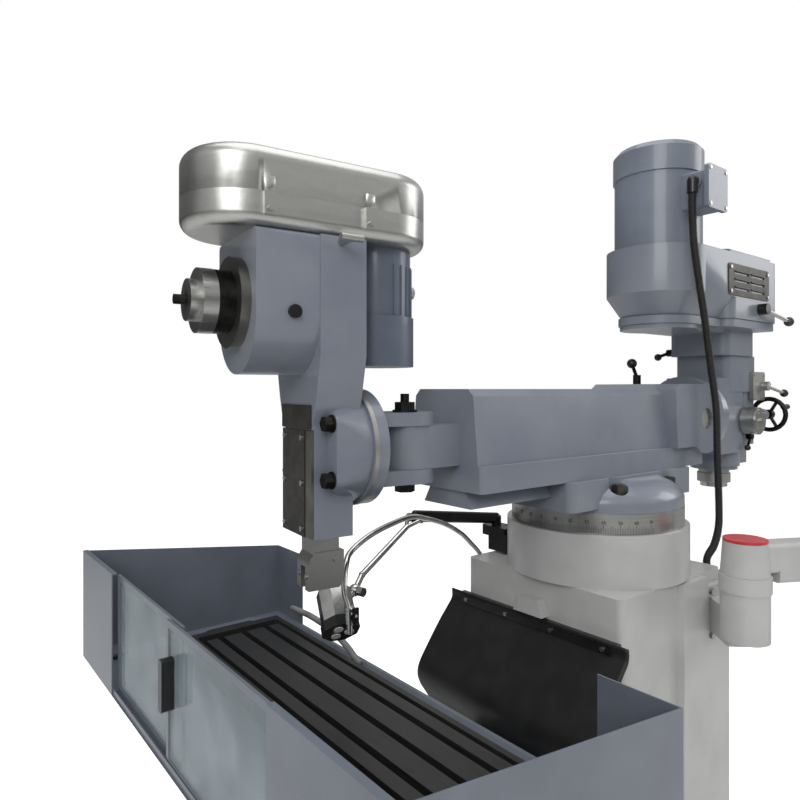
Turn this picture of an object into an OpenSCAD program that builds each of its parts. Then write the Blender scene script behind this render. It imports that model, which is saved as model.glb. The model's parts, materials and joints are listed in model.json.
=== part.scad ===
// Universal turret milling machine: a knee and column machine whose ram carries
// a slotting head at the front and a vertical milling head at the rear.
// Millimetres. The origin is on the floor under the turret axis, +Z is up,
// -Y is the side where the operator stands and +X is that operator's right.

/* [Base and column] */
// Width of the base
base_w = 560; // [540:10:620]
// Reach of the base in front of the turret axis
base_front = 640; // [630:10:700]
// Reach of the base behind the turret axis
base_rear = 330; // [320:10:380]
// Height of the base
base_h = 140; // [130:5:150]
// Width of the column
column_w = 410; // [404:2:416]
// Height of the column, without the turret boss
column_h = 1200; // [1195:5:1230]
// Depth of the chest on the column's left side
chest_d = 45; // [40:1:48]
// Diameter of the turret boss on the column
boss_d = 436; // [430:2:440]

/* [Knee, saddle and table] */
// Height of the table top at rest
table_h = 1000; // [980:5:1005]
// Length of the table
table_l = 1067; // [1040:1:1080]
// Width of the table
table_w = 254; // [250:1:258]
// Thickness of the table slab
slab_h = 70; // [66:1:74]
// Distance from the middle of the table to the turret axis
table_reach = 660; // [650:5:670]
// Place of the table's middle to the left of the turret axis
table_offset = 147; // [130:1:160]
// Pitch of the three T-slots
slot_pitch = 63.5; // [58:0.5:66]
// Width of the neck of a T-slot
slot_w = 16; // [14:0.5:18]
// Width of the knee
knee_w = 250; // [240:2:260]
// Width of the saddle along the table
saddle_w = 440; // [420:2:460]
// Diameter of the handwheels
wheel_d = 180; // [160:2:200]

/* [Splash guard] */
// Height of the guard's front above the table top
guard_h = 238; // [200:2:240]
// Room between the table ends and the end walls
guard_side = 99; // [90:1:105]
// Room between the table and the front wall
guard_front = 228; // [210:1:235]
// Thickness of the guard's sheet
sheet_t = 3; // [2:0.5:4]
// Width of the front opening
opening_w = 735; // [700:1:750]

/* [Turret and ram] */
// Diameter of the graduated turret ring
ring_d = 413; // [406:1:418]
// Height of the ring
ring_h = 46; // [42:1:48]
// Width of the ram at its ledge
ram_w = 216; // [210:1:220]
// Height of the head axis above the boss
head_rise = 243; // [240:1:250]
// Distance from the turret axis back to the nod pivot
nod_reach = 320; // [314:1:326]
// Diameter of the milling head's mounting flange
flange_d = 230; // [226:1:236]

/* [Milling head] */
// Distance from the nod pivot back to the spindle axis
spindle_reach = 290; // [286:1:294]
// Diameter of the quill nose
nose_d = 94; // [88:1:98]
// Travel of the quill
quill_travel = 127; // [100:1:130]
// Diameter of the main motor
motor_d = 229; // [220:1:236]
// Height of the main motor
motor_h = 274; // [260:2:300]
// Diameter of the bore in the spindle
spindle_bore_d = 24.1; // [20:0.1:26]

/* [Slotting head] */
// Distance from the turret axis forward to the clevis bolt
clevis_reach = 612; // [608:1:616]
// Turn of the slotting head about the clevis bolt at rest
slotter_yaw = -6; // [-8:1:-4]
// Diameter of the slotting head's mounting disc
disc_d = 210; // [204:1:216]
// Width of the slotting slide
slide_w = 124; // [118:1:128]
// Width across the belt cover
belt_cover_w = 200; // [190:1:204]

/* [Pendant and lamp] */
// Place of the pendant post to the right of the turret axis
post_x = 330; // [325:1:340]
// Drop of the pendant post's foot below the column's top
post_drop = 105; // [95:1:115]
// Length of the pendant arm
arm_l = 560; // [540:5:580]
// Width across the lamp head
lamp_d = 76; // [70:1:80]

/* [Hidden] */
$fn = 64;
// Levels up the column
column_front = 200;
column_back = 226;
rear_chest_y = 284;
rear_chest_z = column_h - 150;
boss_top = column_h + 118;
ways_w = 220;
ways_d = 36;
gap = 0.3;
run_gap = 0.1;
belt_taper = 38;
// Levels of the knee, the saddle and the table
slab_z = table_h - slab_h;
table_rail_h = 34;
table_rail_z = slab_z - table_rail_h;
saddle_top = slab_z - gap;
saddle_z = table_h - 184.7;
knee_top = saddle_z - gap;
knee_z = knee_top - 255;
knee_front = 1000;
saddle_front = table_reach + 190;
saddle_back = table_reach - 190;
screw_y = -430;
lead_z = table_h - 128;
bracket_t = 30;
table_x0 = -table_offset - table_l / 2;
table_x1 = -table_offset + table_l / 2;
table_y0 = -table_reach - table_w / 2;
table_y1 = -table_reach + table_w / 2;
// Walls of the splash guard
guard_x0 = table_x0 - guard_side;
guard_x1 = table_x1 + guard_side;
guard_y0 = table_y0 - guard_front;
guard_y1 = table_y1 + 58;
guard_foot = table_h - 25;
guard_top = table_h + guard_h;
guard_back_top = guard_top - 67;
open_x0 = -table_offset - opening_w / 2;
open_x1 = -table_offset + opening_w / 2;
door_w = opening_w / 2 + 31;
// Levels of the turret, the ram and the heads
ring_top = boss_top + ring_h;
ring_gap = 0.3;
deck_top = ring_top + 74.7;
pinion_z = deck_top - 47;
head_z = boss_top + head_rise;
ram_half = ram_w / 2;
ram_front = clevis_reach - 99;
rail_top = deck_top + gap;
// Places of the milling head
nod_y = nod_reach;
spindle_y = nod_y + spindle_reach;
flange_y0 = nod_y + 97;
flange_y1 = flange_y0 + 28;
nose_z0 = head_z - 219;
nose_z1 = head_z - 177;
collar_z = head_z + 111;
gear_z = collar_z + 67;
belt_z = gear_z + 76;
belt_seam_z = belt_z + 23;
belt_top = belt_z + 204;
motor_z = belt_top + 3;
// Places of the slotting head, in its own frame about the clevis bolt
tilt_z = head_z - 26;
slide_half = slide_w / 2;
slide_d0 = 147;
slide_d1 = 219;
slotter_top = head_z + 331;
cover_r = belt_cover_w / 2;
// Places of the lamp
lamp_base = [-262, -80, column_h + 80];
lamp_elbow = [-287, -350, column_h + 114];
lamp_knee = [-240, -545, column_h + 16];
lamp_knob = [-225, -575, column_h - 10];
lamp_center = [-190, -645, column_h - 32];
lamp_aim = [0.674, -0.211, -0.70];
// Places of the pendant
post_y = 75;
post_z = column_h - post_drop;
post_top = post_z + 219;
arm_turn = -27.7;
box_w = 190;

// A box between two corners
module block(x0, x1, y0, y1, z0, z1)
    translate([x0, y0, z0])
        cube([x1 - x0, y1 - y0, z1 - z0]);

// Round bars along each axis
module rod_x(r, x0, x1, y, z)
    translate([x0, y, z])
        rotate([0, 90, 0])
            cylinder(r = r, h = x1 - x0);

module rod_y(r, x, y0, y1, z)
    translate([x, y1, z])
        rotate([90, 0, 0])
            cylinder(r = r, h = y1 - y0);

module rod_z(r, x, y, z0, z1)
    translate([x, y, z0])
        cylinder(r = r, h = z1 - z0);

// A rectangle between two corners with its corners rounded
module round_rect(x0, x1, y0, y1, r) {
    translate([x0 + r, y0])
        square([x1 - x0 - 2 * r, y1 - y0]);
    translate([x0, y0 + r])
        square([x1 - x0, y1 - y0 - 2 * r]);
    for (x = [x0 + r, x1 - r], y = [y0 + r, y1 - r])
        translate([x, y])
            circle(r = r);
}

// Slabs with rounded edges along each axis
module slab_z(x0, x1, y0, y1, z0, z1, r)
    translate([0, 0, z0])
        linear_extrude(z1 - z0)
            round_rect(x0, x1, y0, y1, r);

module slab_x(x0, x1, y0, y1, z0, z1, r)
    translate([x0, 0, 0])
        rotate([90, 0, 90])
            linear_extrude(x1 - x0)
                round_rect(y0, y1, z0, z1, r);

module slab_y(x0, x1, y0, y1, z0, z1, r)
    translate([0, y1, 0])
        rotate([90, 0, 0])
            linear_extrude(y1 - y0)
                round_rect(x0, x1, z0, z1, r);

// An outline in Y and Z drawn along X, and one in X and Z drawn along Y
module prism_x(x0, x1, outline)
    translate([x0, 0, 0])
        rotate([90, 0, 90])
            linear_extrude(x1 - x0)
                polygon(outline);

module prism_y(y0, y1, outline)
    translate([0, y1, 0])
        rotate([90, 0, 0])
            linear_extrude(y1 - y0)
                polygon(outline);

// A hexagonal head on a round face, along Z
module hex_z(af, x, y, z0, z1)
    translate([x, y, z0])
        cylinder(d = af / cos(30), h = z1 - z0, $fn = 6);

// A bar between two points, and a pipe or cord through many
module link(a, b, r) {
    step = b - a;
    len = norm(step);
    translate(a)
        rotate([0, acos(step[2] / len), atan2(step[1], step[0])])
            cylinder(r = r, h = len);
}

module run(points, r)
    for (i = [0 : len(points) - 2])
        hull()
            for (at = [points[i], points[i + 1]])
                translate(at)
                    sphere(r = r, $fn = 20);

// A ball knob
module ball(r, x, y, z)
    translate([x, y, z])
        sphere(r = r);

// A handwheel about the X axis: rim, spokes, hub and a crank grip outward
module handwheel(side) {
    r = wheel_d / 2;
    rotate([0, 90, 0])
        rotate_extrude()
            translate([r - 9, 0])
                circle(r = 9);
    rotate([0, 90, 0])
        difference() {
            cylinder(r = 24, h = 34, center = true);
            cylinder(r = 6, h = 60, center = true);
        }
    for (i = [0 : 2])
        rotate([120 * i, 0, 0])
            translate([0, 0, 20])
                cylinder(r = 8, h = r - 26);
    translate([side * 4, 0, -(r - 10)])
        rotate([0, side * 90, 0]) {
            cylinder(r = 5, h = 30);
            translate([0, 0, 22])
                cylinder(r1 = 9, r2 = 13, h = 56);
        }
}

// Cast base with a chip basin and the pedestal of the elevating screw
module base_plinth() {
    half = base_w / 2;
    color("#7e8593")
        difference() {
            union() {
                slab_z(-half, half, -base_front, base_rear, 0, base_h, 60);
            }
            slab_z(-half + 60, half - 60, -base_front + 60, -column_front - 50, 70, base_h + 1, 30);
            rod_z(19 + run_gap, 0, screw_y, 6, base_h);
            for (x = [-half + 32, half - 32], y = [-base_front + 80, base_rear - 50])
                rod_z(9, x, y, -1, base_h + 1);
        }
    color("#7e8593")
        difference() {
            union() {
                rod_z(40, 0, screw_y, 70, 430);
                rod_z(58, 0, screw_y, 70, 100);
            }
            rod_z(19 + run_gap, 0, screw_y, 69, 431);
        }
}

// Hollow column with the dovetail ways of the knee and the turret boss
module column_casting() {
    half = column_w / 2;
    color("#a9a9a8")
        difference() {
            union() {
                slab_z(-half, half, -column_front, column_back, base_h, column_h, 16);
                slab_z(-half - chest_d, half - 40, -column_front, 40, base_h, column_h, 16);
                slab_z(-half, half, 0, rear_chest_y, base_h, rear_chest_z, 16);
                rod_z(boss_d / 2, 0, 0, column_h, boss_top);
                block(half - 1, half + 17, 20, 130, base_h, column_h - 5);
                prism_y(-column_front - 26, -column_front + 1,
                    [[-70, column_h - 84], [15, column_h - 84], [0, column_h - 46], [-52, column_h - 46]]);
                translate([0, 0, base_h + 110])
                    linear_extrude(column_h - 170 - base_h - 110)
                        polygon([[-ways_w / 2 + 20, -column_front + 1], [-ways_w / 2, -column_front - ways_d],
                            [ways_w / 2, -column_front - ways_d], [ways_w / 2 - 20, -column_front + 1]]);
            }
            block(-half + 30, half - 30, -column_front + 40, column_back - 30, base_h - 1, column_h - 30);
            block(-half - chest_d + 20, -half + 31, -column_front + 40, 20, base_h - 1, column_h - 30);
            rod_z(60 + run_gap, 0, 0, column_h - 31, boss_top + 1);
        }
}

// Flat strip that holds the top of the apron
module apron_strip() {
    color("#4f5560")
        block(-262, 204, -column_front - 14, -column_front - 0.1, column_h - 115, column_h - 90);
    color("#2b2b2b")
        block(-250, 194, -column_front - 25, -column_front - 20.3, column_h - 112, column_h - 92);
    color("#b9b9b6")
        for (x = [-230 : 135 : 175])
            rod_y(5, x, -column_front - 29, -column_front - 24.9, column_h - 102);
}

// Rubber apron between the column and the knee
module apron_sheet() {
    y0 = -column_front - 14;
    top = column_h - 100;
    color("#161616")
        prism_x(-290, 232, [[y0 - 0.2, top + 12], [y0 - 0.2, top - 15], [y0 - 40, top - 60],
            [y0 - 95, slab_z + 40], [y0 - 118, slab_z + 5], [y0 - 118, slab_z - 20], [y0 - 96, slab_z - 60],
            [y0 - 78, knee_top + 30], [y0 - 84, knee_top + 26], [y0 - 103, slab_z - 60],
            [y0 - 125, slab_z - 22], [y0 - 125, slab_z + 8], [y0 - 102, slab_z + 45], [y0 - 47, top - 55],
            [y0 - 6, top - 12], [y0 - 6, top + 12]]);
}

// Cabinet of the electrical gear behind the column, with the gland of the motor cable
module electrical_cabinet() {
    y0 = rear_chest_y + 0.1;
    color("#9aa0ac")
        difference() {
            slab_z(-180, 60, y0, y0 + 120, 600, 1030, 8);
            block(-176, 56, y0 + 8, y0 + 112, 604, 1026);
        }
    color("#4f5560")
        slab_y(-170, 50, y0 + 120, y0 + 126, 612, 1018, 8);
    color("#161616") {
        slab_y(30, 42, y0 + 126, y0 + 140, 790, 850, 5);
        rod_z(17, 160, 252, rear_chest_z + 0.1, rear_chest_z + 14);
        rod_z(13, 160, 252, rear_chest_z + 14, rear_chest_z + 34);
    }
}

// Bracket on the column's side with the post of the pendant
module pendant_bracket() {
    x0 = column_w / 2 + 0.1;
    color("#9aa0ac") {
        difference() {
            slab_x(x0, x0 + 14, 134, 224, post_z - 54, post_z + 75, 8);
            for (y = [146, 212], z = [post_z - 42, post_z + 63])
                rod_x(4.5, x0 - 1, x0 + 15, y, z);
        }
        translate([x0 + 6, 182, 0])
            rotate([0, 0, atan2(post_y - 182, post_x - x0 - 6)])
                slab_z(24, norm([post_y - 182, post_x - x0 - 6]) - 30, -24, 24, post_z - 30, post_z + 50, 6);
        difference() {
            union() {
                rod_z(50, post_x, post_y, post_z, post_z + 106);
                rod_z(53, post_x, post_y, post_z + 106, post_z + 142);
            }
            rod_z(20 + run_gap, post_x, post_y, post_z + 20, post_z + 143);
        }
    }
    color("#b9b9b6")
        for (y = [146, 212], z = [post_z - 42, post_z + 63]) {
            rod_x(4.4, x0, x0 + 16, y, z);
            rod_x(8, x0 + 14, x0 + 22, y, z);
        }
}

// Stepped bracket of the work lamp on the boss
module lamp_bracket() {
    color("#161616")
        difference() {
            union() {
                block(-262, -196, -112, -82, column_h + 5, column_h + 52);
                block(-272, -203, -112, -72, column_h + 52, lamp_base[2] - 12);
                block(-290, -240, -106, -54, lamp_base[2] - 40, lamp_base[2] - 12);
            }
            rod_z(boss_d / 2 + 0.05, 0, 0, column_h, boss_top);
            rod_z(8 + run_gap, lamp_base[0], lamp_base[1], lamp_base[2] - 41, lamp_base[2]);
        }
}

// Coolant pipe from the column to the nozzle over the table
module coolant_pipe() {
    z = column_h;
    side = -column_w / 2 - chest_d;
    color("#c9c9c6")
        run([[side - 8, -148, 900], [side - 8, -148, z - 17], [side - 5, -156, z + 4], [-250, -187, z + 31],
            [-243, -230, z + 65], [-222, -303, z + 102], [-190, -397, z + 134], [-165, -470, z + 149],
            [-141, -580, z + 135],
            [-125, -650, z + 110], [-102, -680, z + 90], [-77, -700, z + 50], [-51, -705, z + 20]], 6);
    color("#4f5560") {
        rod_z(9, -51, -705, z, z + 26);
        rod_z(5, -51, -705, z - 26, z);
        rod_x(4, -51, -33, -705, z + 14);
        block(-35, -30, -722, -688, z + 9, z + 19);
    }
    color("#b9b9b6")
        for (h = [930, z - 60])
            block(side - 16, side - 0.1, -158, -138, h, h + 14);
}

// Corrugated cable from the rear chest up to the main motor
module motor_cable() {
    color("#2b2b2b")
        run([[160, 252, rear_chest_z + 43.6], [161, 250, 1150], [162, 243, 1207], [167, 270, 1239],
            [165, 297, 1279], [160, 311, 1334], [155, 312, 1477], [155, 306, 1590], [150, 286, 1705],
            [150, 253, 1830], [150, 228, 1909], [140, 220, 2015], [140, 212, 2098], [140, 212, 2129.4]], 9.5);
}

// Hollow knee on the ways, open below, with the rails of the saddle
module knee_casting() {
    half = knee_w / 2;
    back = -column_front - 3;
    color("#7e8593")
        difference() {
            union() {
                slab_z(-half, half, -knee_front, back - 40, knee_z, knee_top, 14);
                slab_z(-half - 25, half + 25, back - 130, back, knee_z, knee_top, 10);
                prism_y(-knee_front, back - 60, [[-80, knee_top - 1], [-100, knee_top + 25],
                    [100, knee_top + 25], [80, knee_top - 1]]);
                rod_x(30, -half - 2, -half + 20, -900, knee_z + 80);
                rod_y(34, 0, -knee_front - 8, -knee_front + 5, knee_top - 55);
            }
            block(-half + 22, half - 22, -knee_front + 30, -column_front - 140, knee_z - 1, knee_top - 25);
            translate([0, 0, knee_z - 1])
                linear_extrude(400)
                    polygon([[-ways_w / 2 + 20 - gap * 2, -column_front + 1],
                        [-ways_w / 2 - gap * 2, -column_front - ways_d - gap],
                        [ways_w / 2 + gap * 2, -column_front - ways_d - gap],
                        [ways_w / 2 - 20 + gap * 2, -column_front + 1]]);
            rod_x(12 + run_gap, -half - 3, half, -900, knee_z + 80);
            rod_y(12 + run_gap, 0, -knee_front - 9, -knee_front + 31, knee_top - 55);
        }
}

// Elevating screw under the knee with its flange
module elevating_screw() {
    color("#b9b9b6") {
        rod_z(19, 0, screw_y, 310, knee_top - 25);
        rod_z(45, 0, screw_y, knee_top - 47, knee_top - 25.1);
    }
}

// Crank that raises the knee
module knee_crank() {
    x = -knee_w / 2 - 2;
    z = knee_z + 80;
    color("#4c4b49") {
        rod_x(12, x - 50, x + 60, -900, z);
        rod_x(22, x - 46, x - 12, -900, z);
        translate([x - 40, -900, z])
            rotate([-35, 0, 0])
                slab_x(0, 14, -110, 10, -9, 9, 8);
    }
    color("#161616")
        translate([x - 40, -900, z])
            rotate([-35, 0, 0]) {
                rod_x(6, -12, 8, -100, 0);
                rod_x(13, -70, -2, -100, 0);
            }
}

// Saddle between the knee and the table, with both dovetail slots
module saddle_casting() {
    half = saddle_w / 2;
    x = -table_offset / 2;
    color("#7e8593")
        difference() {
            union() {
                slab_z(x - half, x + half, -saddle_front, -saddle_back, saddle_z, saddle_top, 14);
                slab_z(-knee_w / 2 - 20, knee_w / 2 + 20, -saddle_front, -saddle_back, saddle_z,
                    saddle_z + 40, 14);
            }
            prism_y(-saddle_front - 1, -saddle_back + 1, [[-80 - gap * 2, saddle_z - 1],
                [-100 - gap * 2, saddle_z + 25 + gap], [100 + gap * 2, saddle_z + 25 + gap],
                [80 + gap * 2, saddle_z - 1]]);
            prism_x(x - half - 1, x + half + 1, [[-table_reach - 75 - gap * 2, saddle_top + 1],
                [-table_reach - 95 - gap * 2, table_rail_z - gap], [-table_reach + 95 + gap * 2,
                table_rail_z - gap], [-table_reach + 75 + gap * 2, saddle_top + 1]]);
            block(x - half - 1, x + half + 1, -table_reach - 20, -table_reach + 20, lead_z - 20,
                table_rail_z);
        }
}

// Handwheel of the cross feed at the front of the knee
module cross_handwheel() {
    z = knee_top - 55;
    y = -knee_front - 78;
    color("#b9b9b6")
        rod_y(12, 0, y - 10, -knee_front + 40, z);
    color("#7e8593")
        rod_y(38, 0, -knee_front - 34, -knee_front - 9, z);
    color("#b9b9b6")
        translate([0, y, z])
            rotate([0, 0, 90])
                handwheel(-1);
}

// Table with three T-slots, coolant troughs and the brackets of its screw
module table() {
    color("#2b2b2b")
        difference() {
            union() {
                block(table_x0, table_x1, table_y0, table_y1, slab_z, table_h);
                prism_x(table_x0 + 10, table_x1 - 10, [[-table_reach - 75, slab_z + 1],
                    [-table_reach - 95, table_rail_z], [-table_reach + 95, table_rail_z],
                    [-table_reach + 75, slab_z + 1]]);
            }
            for (i = [-1 : 1]) {
                block(table_x0 + 45, table_x1 - 45, -table_reach + i * slot_pitch - slot_w / 2,
                    -table_reach + i * slot_pitch + slot_w / 2, table_h - 30, table_h + 1);
                block(table_x0 + 45, table_x1 - 45, -table_reach + i * slot_pitch - 14,
                    -table_reach + i * slot_pitch + 14, table_h - 30, table_h - 18);
            }
            for (x = [table_x0 + 26, table_x1 - 60])
                slab_z(x, x + 34, table_y0 + 14, table_y1 - 14, table_h - 30, table_h + 1, 10);
            for (y = [table_y0 + 14, table_y1 - 26])
                block(table_x0 + 40, table_x1 - 40, y, y + 12, table_h - 12, table_h + 1);
        }
    color("#7e8593")
        for (x = [table_x0 - bracket_t, table_x1])
            difference() {
                slab_x(x, x + bracket_t, -table_reach - 70, -table_reach + 70, lead_z - 30, table_h - 8, 12);
                rod_x(10 + run_gap, x - 1, x + bracket_t + 1, -table_reach, lead_z);
            }
}

// Lead screw of the table with a handwheel on each end
module table_handwheels() {
    x0 = guard_x0 - 55;
    x1 = guard_x1 + 55;
    color("#b9b9b6")
        rod_x(10, x0 - 14, x1 + 14, -table_reach, lead_z);
    color("#b9b9b6") {
        translate([x0, -table_reach, lead_z])
            handwheel(-1);
        translate([x1, -table_reach, lead_z])
            handwheel(1);
    }
}

// An end wall of the splash guard with its top sloping down to the rear
module guard_end(x)
    prism_x(x, x + sheet_t, [[guard_y0, guard_foot], [guard_y1, guard_foot], [guard_y1, guard_back_top],
        [guard_y0, guard_top]]);

// One level of the hopper between the walls and the table
module hopper_level(x0, x1, y0, y1, z)
    block(x0, x1, y0, y1, z, z + 0.5);

// Sheet guard round the table with a front opening for two doors
module splash_guard() {
    rim = 12;
    table_side = slab_z + 1;
    color("#b9b9b6") {
        guard_end(guard_x0);
        guard_end(guard_x1 - sheet_t);
        for (side = [[guard_x0, open_x0], [open_x1, guard_x1]]) {
            block(side[0], side[1], guard_y0, guard_y0 + sheet_t, guard_foot, guard_top);
            block(side[0], side[1], guard_y0, guard_y0 + rim, guard_top - sheet_t, guard_top);
        }
        block(guard_x0, guard_x0 + 146, guard_y1 - sheet_t, guard_y1, guard_foot, guard_back_top);
        block(guard_x1 - 146, guard_x1, guard_y1 - sheet_t, guard_y1, guard_foot, guard_back_top);
        block(open_x0 - 260, open_x1 + 260, guard_y0 + 3, guard_y0 + 22, guard_foot, guard_foot + 6);
        block(open_x0 - 260, open_x1 + 260, guard_y0 + 3, guard_y0 + 5, guard_foot, guard_foot + 14);
        difference() {
            hull() {
                hopper_level(guard_x0, guard_x1, guard_y0, guard_y1, guard_foot);
                hopper_level(table_x0 - 2, table_x1 + 2, table_y0 - 2, table_y1 + 2, table_side);
            }
            translate([0, 0, sheet_t + 2])
                hull() {
                    hopper_level(guard_x0 + sheet_t, guard_x1 - sheet_t, guard_y0 + sheet_t,
                        guard_y1 - sheet_t, guard_foot);
                    hopper_level(table_x0 + 3, table_x1 - 3, table_y0 + 3, table_y1 - 3, table_side);
                }
            block(table_x0 - 0.2, table_x1 + 0.2, table_y0 - 0.2, table_y1 + 0.2, table_side - 20, table_h);
            block(table_x0 - bracket_t - 0.2, table_x1 + bracket_t + 0.2, -table_reach - 70.2,
                -table_reach + 70.2, table_side - 20, table_h);
        }
        block(guard_x0, guard_x0 + 60, guard_y0 + 3, guard_y0 + 90, guard_foot + 3, guard_foot + 10);
    }
}

// A translucent sliding door in a frame, with its handle
module door(x0, y) {
    x1 = x0 + door_w;
    z0 = guard_foot + 6.5;
    z1 = guard_top - sheet_t - 0.5;
    color("#9fb4bd", 0.6)
        block(x0 + 12, x1 - 12, y + 1, y + 5, z0 + 12, z1 - 12);
    color("#b9b9b6")
        difference() {
            block(x0, x1, y, y + 6, z0, z1);
            block(x0 + 12, x1 - 12, y - 1, y + 7, z0 + 12, z1 - 12);
        }
}

module door_left() {
    x = open_x0 - 2;
    door(x, guard_y0 + 13);
    color("#161616")
        slab_y(x + door_w - 40, x + door_w - 22, guard_y0 + 18, guard_y0 + 40, guard_top - 150,
            guard_top - 60, 6);
}

module door_right() {
    x = open_x1 + 2 - door_w;
    door(x, guard_y0 + 5.2);
    color("#161616")
        slab_y(x + 22, x + 40, guard_y0 - 16, guard_y0 + 6.2, guard_top - 150, guard_top - 60, 6);
}

// Coolant hose that lies along the rear of the table
module drain_hose() {
    y = table_y1 + 24;
    color("#2b2b2b") {
        run([[guard_x0 + 146, y, table_h + 28], [-588, y, table_h + 31], [-535, y, table_h + 33],
            [-483, y, table_h + 31], [-445, y, table_h + 28], [-410, y, table_h + 22],
            [-380, y, table_h + 14], [-350, y, table_h + 4], [-325, y, table_h - 8],
            [-299, y, table_h - 18]], 8);
        rod_x(12, guard_x0 + 128, guard_x0 + 152, y, table_h + 28);
    }
    color("#b9b9b6") {
        rod_x(11, -310, -270, y, table_h - 20);
        block(-300, -280, table_y1, y, table_h - 29, table_h - 11);
    }
}

// Turret that turns on the boss and carries the ram in a dovetail
module turret_casting() {
    r = ring_d / 2 - 0.5;
    color("#7e8593")
        difference() {
            union() {
                rod_z(60, 0, 0, boss_top - 90, ring_top + 1);
                rotate_extrude()
                    polygon([[0, ring_top + ring_gap], [r, ring_top + ring_gap], [r, ring_top + 22],
                        [r - 10, ring_top + 40], [r - 30, ring_top + 56], [r - 62, ring_top + 68],
                        [0, ring_top + 73]]);
                slab_z(-125, 125, -258, 240, ring_top + 11, deck_top, 20);
                rod_x(26, -196, -100, 40, pinion_z);
            }
            prism_y(-259, 241, [[-50 - gap * 2, deck_top + 1], [-70 - gap * 2, deck_top - 35],
                [70 + gap * 2, deck_top - 35], [50 + gap * 2, deck_top + 1]]);
            rod_x(11 + run_gap, -215, -60, 40, pinion_z);
            rod_x(13, -76, -50, 40, pinion_z);
            for (x = [-136, 136], y = [-108, 108]) {
                rod_z(22, x, y, ring_top + 38, deck_top + 2);
                rod_z(10 + run_gap, x, y, ring_top + 19, ring_top + 40);
            }
        }
}

// Graduated ring under the turret, with its marks and index
module dial_ring() {
    r = ring_d / 2;
    color("#b9b9b6")
        difference() {
            rod_z(r, 0, 0, boss_top + ring_gap, ring_top);
            rod_z(60 + run_gap, 0, 0, boss_top, ring_top + 1);
            for (a = [-60 : 5 : 60])
                rotate([0, 0, a - 90])
                    translate([r - 0.8, -0.5, boss_top + 12])
                        cube([2, 1, a % 10 == 0 ? 18 : 10]);
        }
}

// Four bolts that lock the turret
module turret_bolts() {
    color("#4c4b49")
        for (x = [-136, 136], y = [-108, 108]) {
            rod_z(10, x, y, ring_top + 20, ring_top + 62);
            rod_z(19, x, y, ring_top + 38.1, ring_top + 44);
            hex_z(28, x, y, ring_top + 43, ring_top + 60);
        }
}

// Pinion shaft and lever that drive the ram
module ram_handle() {
    z = pinion_z;
    color("#b9b9b6") {
        rod_x(11, -258, -52, 40, z);
        rod_x(12, -74, -52, 40, z);
    }
    color("#4c4b49") {
        rod_x(24, -258, -232, 40, z);
        translate([-245, 40, z])
            rotate([12, 0, 0])
                rod_z(7, 0, 0, 0, 105);
    }
    color("#161616")
        translate([-245, 40, z])
            rotate([12, 0, 0])
                ball(14, 0, 0, 110);
}

// Ram with its dovetail, rack, rear block, fork and front lug
module ram_casting() {
    z0 = rail_top;
    ledge = z0 + 52;
    shoulder = head_z + 79;
    color("#7e8593")
        difference() {
            union() {
                prism_y(-ram_front, 180, [[-99, ledge - 1], [-86, shoulder - 14], [-72, shoulder],
                    [72, shoulder], [86, shoulder - 14], [99, ledge - 1]]);
                slab_z(-ram_half, ram_half, -ram_front, nod_y + 12, z0, ledge, 8);
                prism_y(-ram_front + 10, nod_y - 30, [[-50, z0 + 1], [-70, z0 - 35 + gap],
                    [70, z0 - 35 + gap], [50, z0 + 1]]);
                prism_x(-125, 125, [[170, ledge - 1], [nod_y + 12, ledge - 1], [nod_y, head_z],
                    [nod_y, head_z + 92], [180, head_z + 92],
                    [160, shoulder]]);
                rod_x(92, -125, 125, nod_y, head_z);
                translate([0, 0, tilt_z - 45])
                    linear_extrude(81)
                        union() {
                            translate([0, -clevis_reach])
                                circle(r = 52);
                            translate([-50, -clevis_reach])
                                square([100, clevis_reach - ram_front + 10]);
                        }
            }
            block(-66, 66, -ram_front + 40, nod_y - 110, ledge - 15, shoulder - 22);
            block(-58.5, 58.5, nod_y - 121, nod_y + 100, z0 - 1, head_z + 93);
            rod_x(20 + run_gap, -90, 126, nod_y, head_z);
            rod_x(28, 110, 126, nod_y, head_z);
            rod_z(12 + run_gap, 0, -clevis_reach, tilt_z - 46, tilt_z + 37);
            for (i = [0 : 36])
                block(-78, -50, -330 + i * 12.4, -324 + i * 12.4, z0 - 36, z0 - 28);
        }
}

// Bolt of the front clevis
module clevis_bolt() {
    color("#b9b9b6") {
        rod_z(12, 0, -clevis_reach, tilt_z - 88, tilt_z + 79);
        rod_z(8.5, 0, -clevis_reach, tilt_z + 78, tilt_z + 96);
        rod_z(24, 0, -clevis_reach, tilt_z + 61.1, tilt_z + 65);
        hex_z(34, 0, -clevis_reach, tilt_z + 65, tilt_z + 80);
        rod_z(24, 0, -clevis_reach, tilt_z - 78, tilt_z - 72.1);
        hex_z(34, 0, -clevis_reach, tilt_z - 92, tilt_z - 78);
    }
}

// Lever that locks the nod
module lock_lever() {
    top = head_z + 92;
    color("#4c4b49") {
        rod_z(11, -90, nod_y + 12, top + 0.1, top + 28);
        link([-90, nod_y + 12, top + 20], [-90, nod_y - 14, top + 60], 5);
    }
    color("#161616")
        ball(14, -90, nod_y - 14, top + 61);
}

// Tongue in the ram's fork with the pivot and the flange of the head
module head_adapter() {
    color("#7e8593") {
        rod_x(85, -57.5, 57.5, nod_y, head_z);
        block(-57.5, 57.5, nod_y, flange_y0 + 1, head_z - 70, head_z + 70);
        rod_y(flange_d / 2, 0, flange_y0, flange_y1, head_z);
    }
    color("#b9b9b6") {
        rod_x(20, -80, 110, nod_y, head_z);
        rod_x(27, 110.1, 118, nod_y, head_z);
    }
}

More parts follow.
